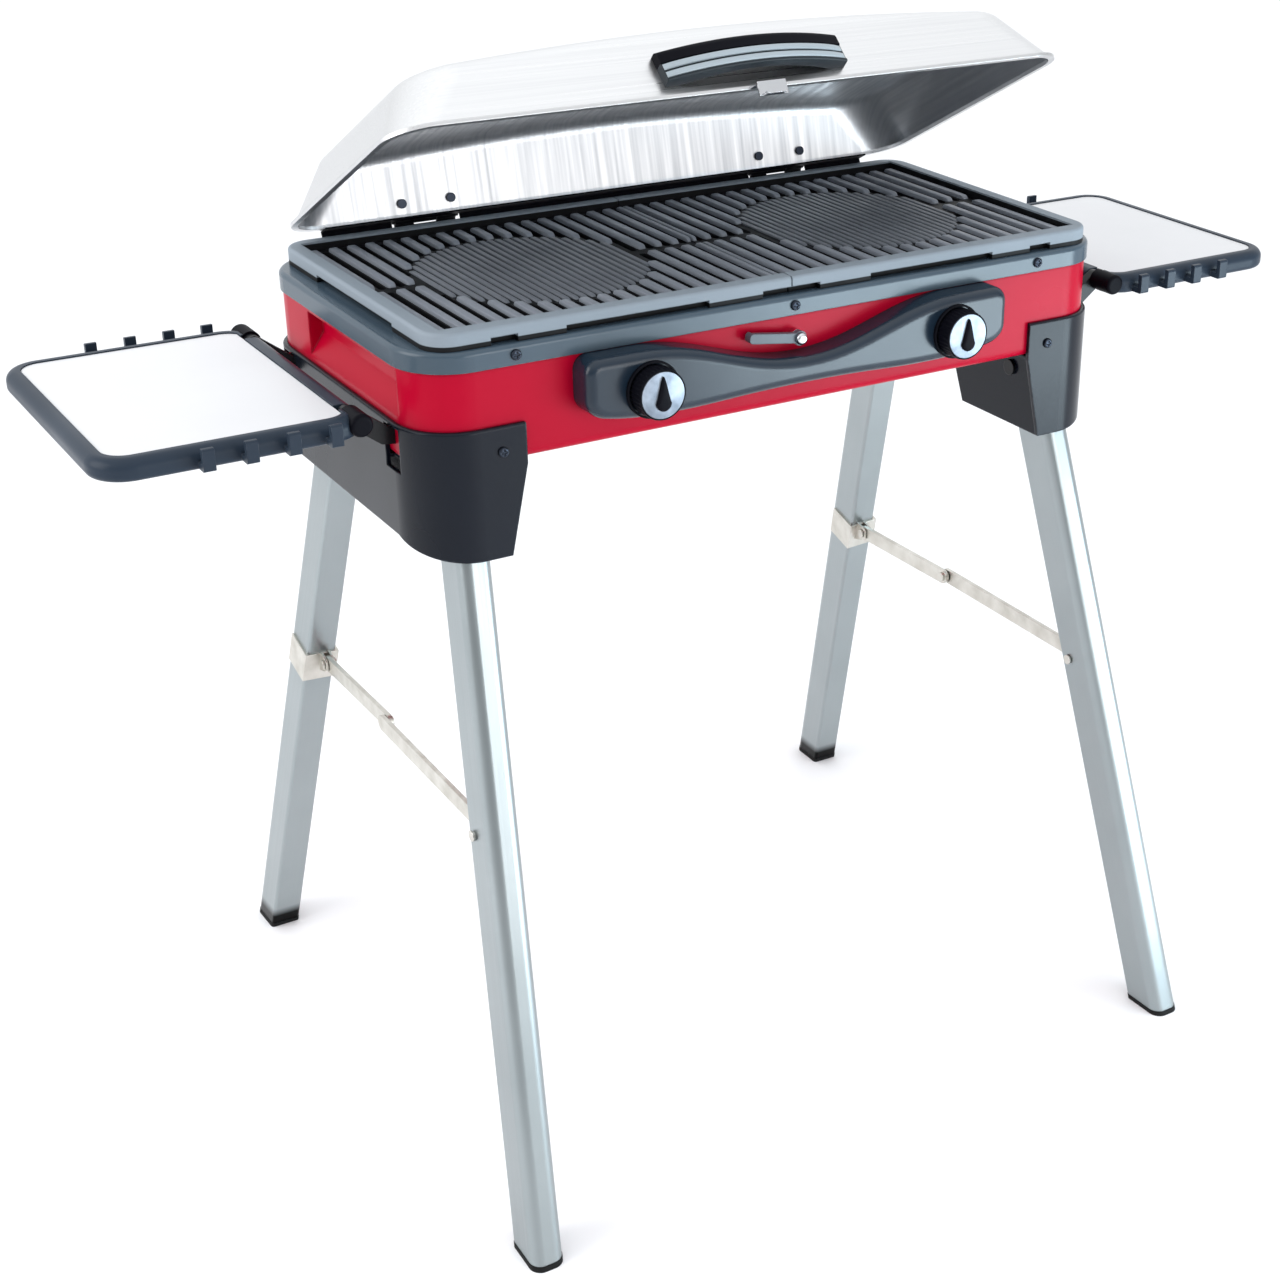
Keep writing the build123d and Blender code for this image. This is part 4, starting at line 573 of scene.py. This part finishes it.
def plate_bars():
    """Bars between the slots of the right-hand plate, in front and rear lengths that stop at the disc."""
    between = SLOT_PITCH * np.arange(1, SLOTS_PER_PLATE)
    centre = np.concatenate([[SEAM_BAR_X], between, [LAST_BAR_X]])
    half_width = np.full(len(centre), BAR_HALF_WIDTH)
    half_width[0] = SEAM_BAR_HALF_WIDTH
    chord = np.sqrt(np.clip(DISC_RADIUS**2 - (centre - BURNER_X) ** 2, 0.0, None))
    inner = np.maximum(chord, CROSS_RIB_HALF) + BAR_GAP
    outer = np.full(len(centre), BAR_END)
    rear = ridges(centre, half_width, BAR_RISE, outer, inner)
    front = ridges(centre, half_width, BAR_RISE, -inner, -outer)
    return np.concatenate([rear, front])


def disc_ribs():
    """Fine ribs across the closed disc of the right-hand plate, as long as the chord where each lies."""
    step = DISC_RIB_PITCH * np.arange(-DISC_RIBS_EACH_WAY, DISC_RIBS_EACH_WAY + 1)
    half_width = np.full(len(step), DISC_RIB_HALF_WIDTH)
    chord = np.sqrt((DISC_RADIUS - BAR_GAP) ** 2 - step**2)
    return ridges(BURNER_X + step, half_width, DISC_RIB_RISE, chord, -chord)


def mirrored(rings):
    """The same rings on the other side of the YZ plane, turned the right way out again."""
    return (rings * np.array([-1.0, 1.0, 1.0]))[:, :, ::-1]


# A profile ends in a small flat cap on the axis
CAP_RADIUS = 0.0012
ROUND_POINTS = 144
FLUTES = 36
FLUTE_HALF_DEPTH = 0.0004


def turned_rings(centre_x, depth, radius, fluted):
    """Profile of radius and depth carried round the knob's axis, waved by flutes as far as it says so."""
    angle = np.linspace(0.0, 2 * math.pi, ROUND_POINTS, endpoint=False)
    wave = FLUTE_HALF_DEPTH * (np.cos(FLUTES * angle) - 1.0)
    reach = np.array(radius)[:, None] + np.array(fluted)[:, None] * wave
    x = centre_x + reach * np.cos(angle)
    z = KNOB_Z + reach * np.sin(angle)
    y = np.array(depth)[:, None] + np.zeros_like(reach)
    return np.stack([x, y, z], axis=-1)[None]


def knob_rings(centre_x):
    """Shaft, fluted skirt, rounded edge and a shallow seat for the bright face."""
    shaft_depth = [SHAFT_END, SHAFT_END, -0.1800]
    shaft_radius = [CAP_RADIUS, 0.0029, 0.0029]
    skirt_depth = [-0.1790, -0.1796, -0.1920, -0.1938, -0.1947, -0.1950, -0.1943, -0.1943]
    skirt_radius = [0.0198, 0.0204, 0.0203, 0.0201, 0.0197, 0.0192, 0.0189, CAP_RADIUS]
    fluted = [0.0, 0.0, 0.0, 0.5, 1.0, 1.0, 0.6, 0.0, 0.0, 0.0, 0.0]
    return turned_rings(centre_x, shaft_depth + skirt_depth, shaft_radius + skirt_radius, fluted)


def face_rings(centre_x):
    """Thin bright face let into the knob, its edge turned over."""
    depth = [-0.1940, -0.1940, -0.1946, -0.1950, -0.1951, -0.1951]
    radius = [CAP_RADIUS, 0.0187, 0.0187, 0.0184, 0.0178, CAP_RADIUS]
    return turned_rings(centre_x, depth, radius, np.zeros(len(depth)))


POINTER_TIP = 0.0150
POINTER_ROUND = 0.0064
POINTER_ROUND_Z = -0.0060
POINTER_TAPER = 0.42
POINTER_POINTS = 96


def pointer_rings(centre_x):
    """Teardrop outline shrunk towards its middle as it rises, so that its face is domed."""
    angle = np.linspace(0.0, 2 * math.pi, POINTER_POINTS, endpoint=False) - math.pi / 2
    side = np.cos(angle)
    lift = np.sin(angle)
    taper = POINTER_TAPER * np.clip(lift, 0.0, 1.0)
    across = POINTER_ROUND * side * (1 - taper * (1 - np.abs(side)))
    point = (POINTER_TIP - POINTER_ROUND_Z) * lift**3
    upward = POINTER_ROUND_Z + np.where(lift < 0, POINTER_ROUND * lift, point)
    scale = np.array([1.0, 1.0, 0.93, 0.76, 0.42, 0.08])
    depth = np.array([-0.1945, -0.1964, -0.1973, -0.1978, -0.1980, -0.1980])
    x = centre_x + scale[:, None] * across
    middle = POINTER_ROUND_Z / 2
    z = KNOB_Z + middle + scale[:, None] * (upward - middle)
    y = depth[:, None] + np.zeros_like(x)
    return np.stack([x, y, z], axis=-1)[None]


# The cross in a screw, as shares of the head's radius and rise
CROSS_HALF_WIDTH = 0.19
CROSS_REACH = 0.62
CROSS_WALL = 0.07
CROSS_END = 0.08
CROSS_DEPTH = 0.42
SCREW_POINTS = 48


def screw_rings(places):
    """Domed heads carried round their axes, pressed in where a cross lies over each; front and rear ones."""
    radius = np.array([1.0, 1.0, 0.95, 0.86, 0.72, 0.60, 0.54, 0.46, 0.34, 0.24, 0.16, 0.06])
    rise = np.array([-0.10, 0.50, 0.72, 0.86, 0.95, 0.98, 0.985, 0.99, 0.995, 1.0, 1.0, 1.0])
    angle = np.linspace(0.0, 2 * math.pi, SCREW_POINTS, endpoint=False)
    across = radius[:, None] * np.cos(angle)
    upward = radius[:, None] * np.sin(angle)
    arm = np.minimum(np.abs(across), np.abs(upward))
    reach = np.maximum(np.abs(across), np.abs(upward))
    within_width = np.clip((CROSS_HALF_WIDTH - arm) / CROSS_WALL, 0.0, 1.0)
    within_reach = np.clip((CROSS_REACH - reach) / CROSS_END, 0.0, 1.0)
    height = SCREW_RISE * (rise[:, None] - CROSS_DEPTH * within_width * within_reach)
    centre = np.array(places)[:, None, None]
    offset = np.stack([SCREW_HEAD * across, -height, SCREW_HEAD * upward], axis=-1)
    front = centre + offset
    rear = (front * np.array([1.0, -1.0, 1.0]))[:, :, ::-1]
    return np.concatenate([front, rear])


def arc(x, half_span, rise):
    """Height over its chord of a round arc, nought beyond the chord's ends."""
    radius = (half_span**2 + rise**2) / (2 * rise)
    inside = np.clip(radius**2 - x**2, 0.0, None)
    return np.where(np.abs(x) < half_span, rise - radius + np.sqrt(inside), 0.0)


def on_lid_front(x, out, up):
    """Points out from the lid's front wall and up along it, turned open with the lid about its hinge."""
    y = LID_FRONT_Y + up * math.sin(LID_FRONT_LEAN) - out * math.cos(LID_FRONT_LEAN) - HINGE_Y
    z = LID_FRONT_Z + up * math.cos(LID_FRONT_LEAN) + out * math.sin(LID_FRONT_LEAN) - HINGE_Z
    opened_y = HINGE_Y + y * math.cos(LID_OPEN) + z * math.sin(LID_OPEN)
    opened_z = HINGE_Z - y * math.sin(LID_OPEN) + z * math.cos(LID_OPEN)
    return np.stack(np.broadcast_arrays(x, opened_y, opened_z), axis=-1)


# The outer arc of the handle runs a hair past its ends, so that they still count as on it
BOW_OVERRUN = 1e-6
BOW_SECTIONS = 49
BOW_TAPER_POWER = 16


def bow_rings(half_length, height, depth, rise, taper):
    """Outline of height and depth carried along the handle's bow, from depth 0 inside it to 1 outside.

    The rise stands out from that depth, and shrinks by the share taper close to the ends.
    """
    x = half_length * np.sin(np.linspace(-math.pi / 2, math.pi / 2, BOW_SECTIONS))[:, None]
    inside = arc(x, HANDLE_HALF_LENGTH - HANDLE_FOOT, HANDLE_GAP)
    bulge = HANDLE_MIDDLE_RISE - HANDLE_END_RISE
    outside = HANDLE_END_RISE + arc(x, HANDLE_HALF_LENGTH + BOW_OVERRUN, bulge)
    swell = 1 - taper * (np.abs(x) / half_length) ** BOW_TAPER_POWER
    out = inside + np.array(depth) * (outside - inside) + swell * np.array(rise)
    return on_lid_front(x, out, HANDLE_UP_WALL + np.array(height) + np.zeros_like(out))


def bow_core():
    """The handle's dark body, with a rounded lower lip and a flat top under the grip."""
    height = [0.0030, HANDLE_HEIGHT, HANDLE_HEIGHT, 0.0056, 0.0050, 0.0038, 0.0032, 0.0030]
    depth = [0.0, 0.0, 1.0, 1.0, 1.0, 1.0, 1.0, 1.0]
    rise = [0.0, 0.0, 0.0, 0.0, 0.0010, 0.0010, 0.0005, -0.0005]
    return bow_rings(HANDLE_HALF_LENGTH, height, depth, rise, 0.0)


RIB_FEET = (0.0055, 0.0127)
RIB_HEIGHT = 0.0052
RIB_RISE = 0.0020
RIB_SHORT = 0.001
RIB_TAPER = 0.8
RIB_SMOOTH = 60.0


def bow_rib(foot):
    """One rounded rib along the front of the handle, sinking at its ends."""
    across = np.array([0.0, 1.0, 1.0, 0.90, 0.70, 0.30, 0.10, 0.0])
    rise = np.array([-0.4, -0.4, 0.45, 0.85, 1.0, 1.0, 0.85, 0.45])
    height = foot + RIB_HEIGHT * across
    depth = np.ones(len(across))
    return bow_rings(HANDLE_HALF_LENGTH - RIB_SHORT, height, depth, RIB_RISE * rise, RIB_TAPER)


for end_name, flip in (("right", False), ("left", True)):
    bars = mirrored(plate_bars()) if flip else plate_bars()
    ribs = mirrored(disc_ribs()) if flip else disc_ribs()
    piece = tubes(end_name + "_plate_bars", bars, bar_finish, "firebox")
    piece = tubes(end_name + "_plate_disc_ribs", ribs, disc_finish, "firebox")
    knob_x = -KNOB_X if flip else KNOB_X
    knob_body = end_name + "_knob"
    knob = tubes(end_name + "_fluted_knob", knob_rings(knob_x), finishes["black_plastic"], knob_body)
    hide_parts(end_name + "_knob")
    face = tubes(end_name + "_knob_face", face_rings(knob_x), finishes["knob_silver"], knob_body)
    pointer = tubes(end_name + "_domed_pointer", pointer_rings(knob_x), finishes["black_plastic"], knob_body)
    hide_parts(end_name + "_knob_pointer")

screws = tubes("cross_screws", screw_rings(SCREW_PLACES), screw_finish, "firebox")
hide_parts("case_screws")
handle = tubes("handle_bow", bow_core()[None], finishes["handle_grey"], "lid")
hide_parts("lid_handle")
both_ribs = np.stack([bow_rib(foot) for foot in RIB_FEET])
handle_ribs = tubes("handle_bow_ribs", both_ribs, rib_finish, "lid", smooth=RIB_SMOOTH)


# Floor and light
FLOOR_REACH = 60.0
FLOOR_LINES = 25


def pale_floor():
    """Flat grid of floor far past the edges of the view."""
    span = np.linspace(-FLOOR_REACH, FLOOR_REACH, FLOOR_LINES)
    x, y = np.meshgrid(span, span, indexing="ij")
    points = np.stack([x, y, np.zeros_like(x)], axis=-1).reshape(-1, 3)
    index = np.arange(x.size).reshape(x.shape)
    corners = [index[:-1, :-1], index[1:, :-1], index[1:, 1:], index[:-1, 1:]]
    faces = np.stack(corners, axis=-1).reshape(-1, 4)
    mesh = bpy.data.meshes.new("floor")
    mesh.from_pydata(points.tolist(), [], faces.tolist())
    paint = finish(
        "floor_paint", (0.92, 0.92, 0.93), (0.90, 0.90, 0.91), (0.60, 0.70),
        grain=60.0, patch=0.4, bump=0.02,
    )
    mesh.materials.append(paint)
    floor = bpy.data.objects.new("floor", mesh)
    scene.collection.objects.link(floor)


WHITE = (1.0, 1.0, 1.0)
COOL = (0.74, 0.91, 1.0)
SKY = (0.96, 0.98, 1.0)
NEAR_SIDE = -0.4
FAR_SIDE = 0.6


def soft_box(name, place_at, aim, width, height, power, tint=WHITE):
    """Rectangular soft light aimed at a point: sides in metres, power in watts."""
    data = bpy.data.lights.new(name, "AREA")
    data.shape = "RECTANGLE"
    data.size = width
    data.size_y = height
    data.energy = power
    data.color = tint
    light = bpy.data.objects.new(name, data)
    light.location = place_at
    light.rotation_euler = (Vector(aim) - Vector(place_at)).to_track_quat("-Z", "Y").to_euler()
    scene.collection.objects.link(light)


def studio_world(near, far, overhead):
    """Soft surround: dim behind the camera, pale behind the grill, brightest straight overhead.

    Near and far are the strengths at the horizon in front and behind, and overhead the one straight up.
    """
    world = bpy.data.worlds.new("studio")
    world.use_nodes = True
    tree = world.node_tree
    direction = tree.nodes.new("ShaderNodeTexCoord").outputs["Generated"]
    axes = place(tree, "ShaderNodeSeparateXYZ", {"Vector": direction}).outputs
    horizon = place(
        tree,
        "ShaderNodeMapRange",
        {"Value": axes["Y"], "From Min": NEAR_SIDE, "From Max": FAR_SIDE, "To Min": near, "To Max": far},
    )
    strength = place(
        tree,
        "ShaderNodeMapRange",
        {"Value": axes["Z"], "To Min": horizon.outputs["Result"], "To Max": overhead},
    )
    background = tree.nodes["Background"]
    background.inputs["Color"].default_value = (*SKY, 1.0)
    tree.links.new(strength.outputs["Result"], background.inputs["Strength"])
    scene.world = world


# The low light is mirrored in the fascia and the right end housing, the near one in the front left leg
pale_floor()
soft_box(
    "low_right_light", (1.14, -1.30, 0.30), aim=(0.15, -0.10, 0.60), width=1.0, height=0.5, power=16.0,
    tint=COOL,
)
soft_box("front_light", (1.30, -2.20, 1.10), aim=(0.00, 0.05, 0.80), width=1.5, height=1.0, power=5.0)
soft_box("near_light", (0.42, -2.10, 0.72), aim=(-0.28, -0.22, 0.45), width=0.7, height=0.9, power=7.5)
soft_box("left_light", (-2.1, 0.2, 1.4), aim=(-0.1, 0.0, 0.6), width=1.5, height=1.5, power=26.0)
studio_world(near=0.22, far=1.0, overhead=1.5)
scene.view_settings.view_transform = "Standard"
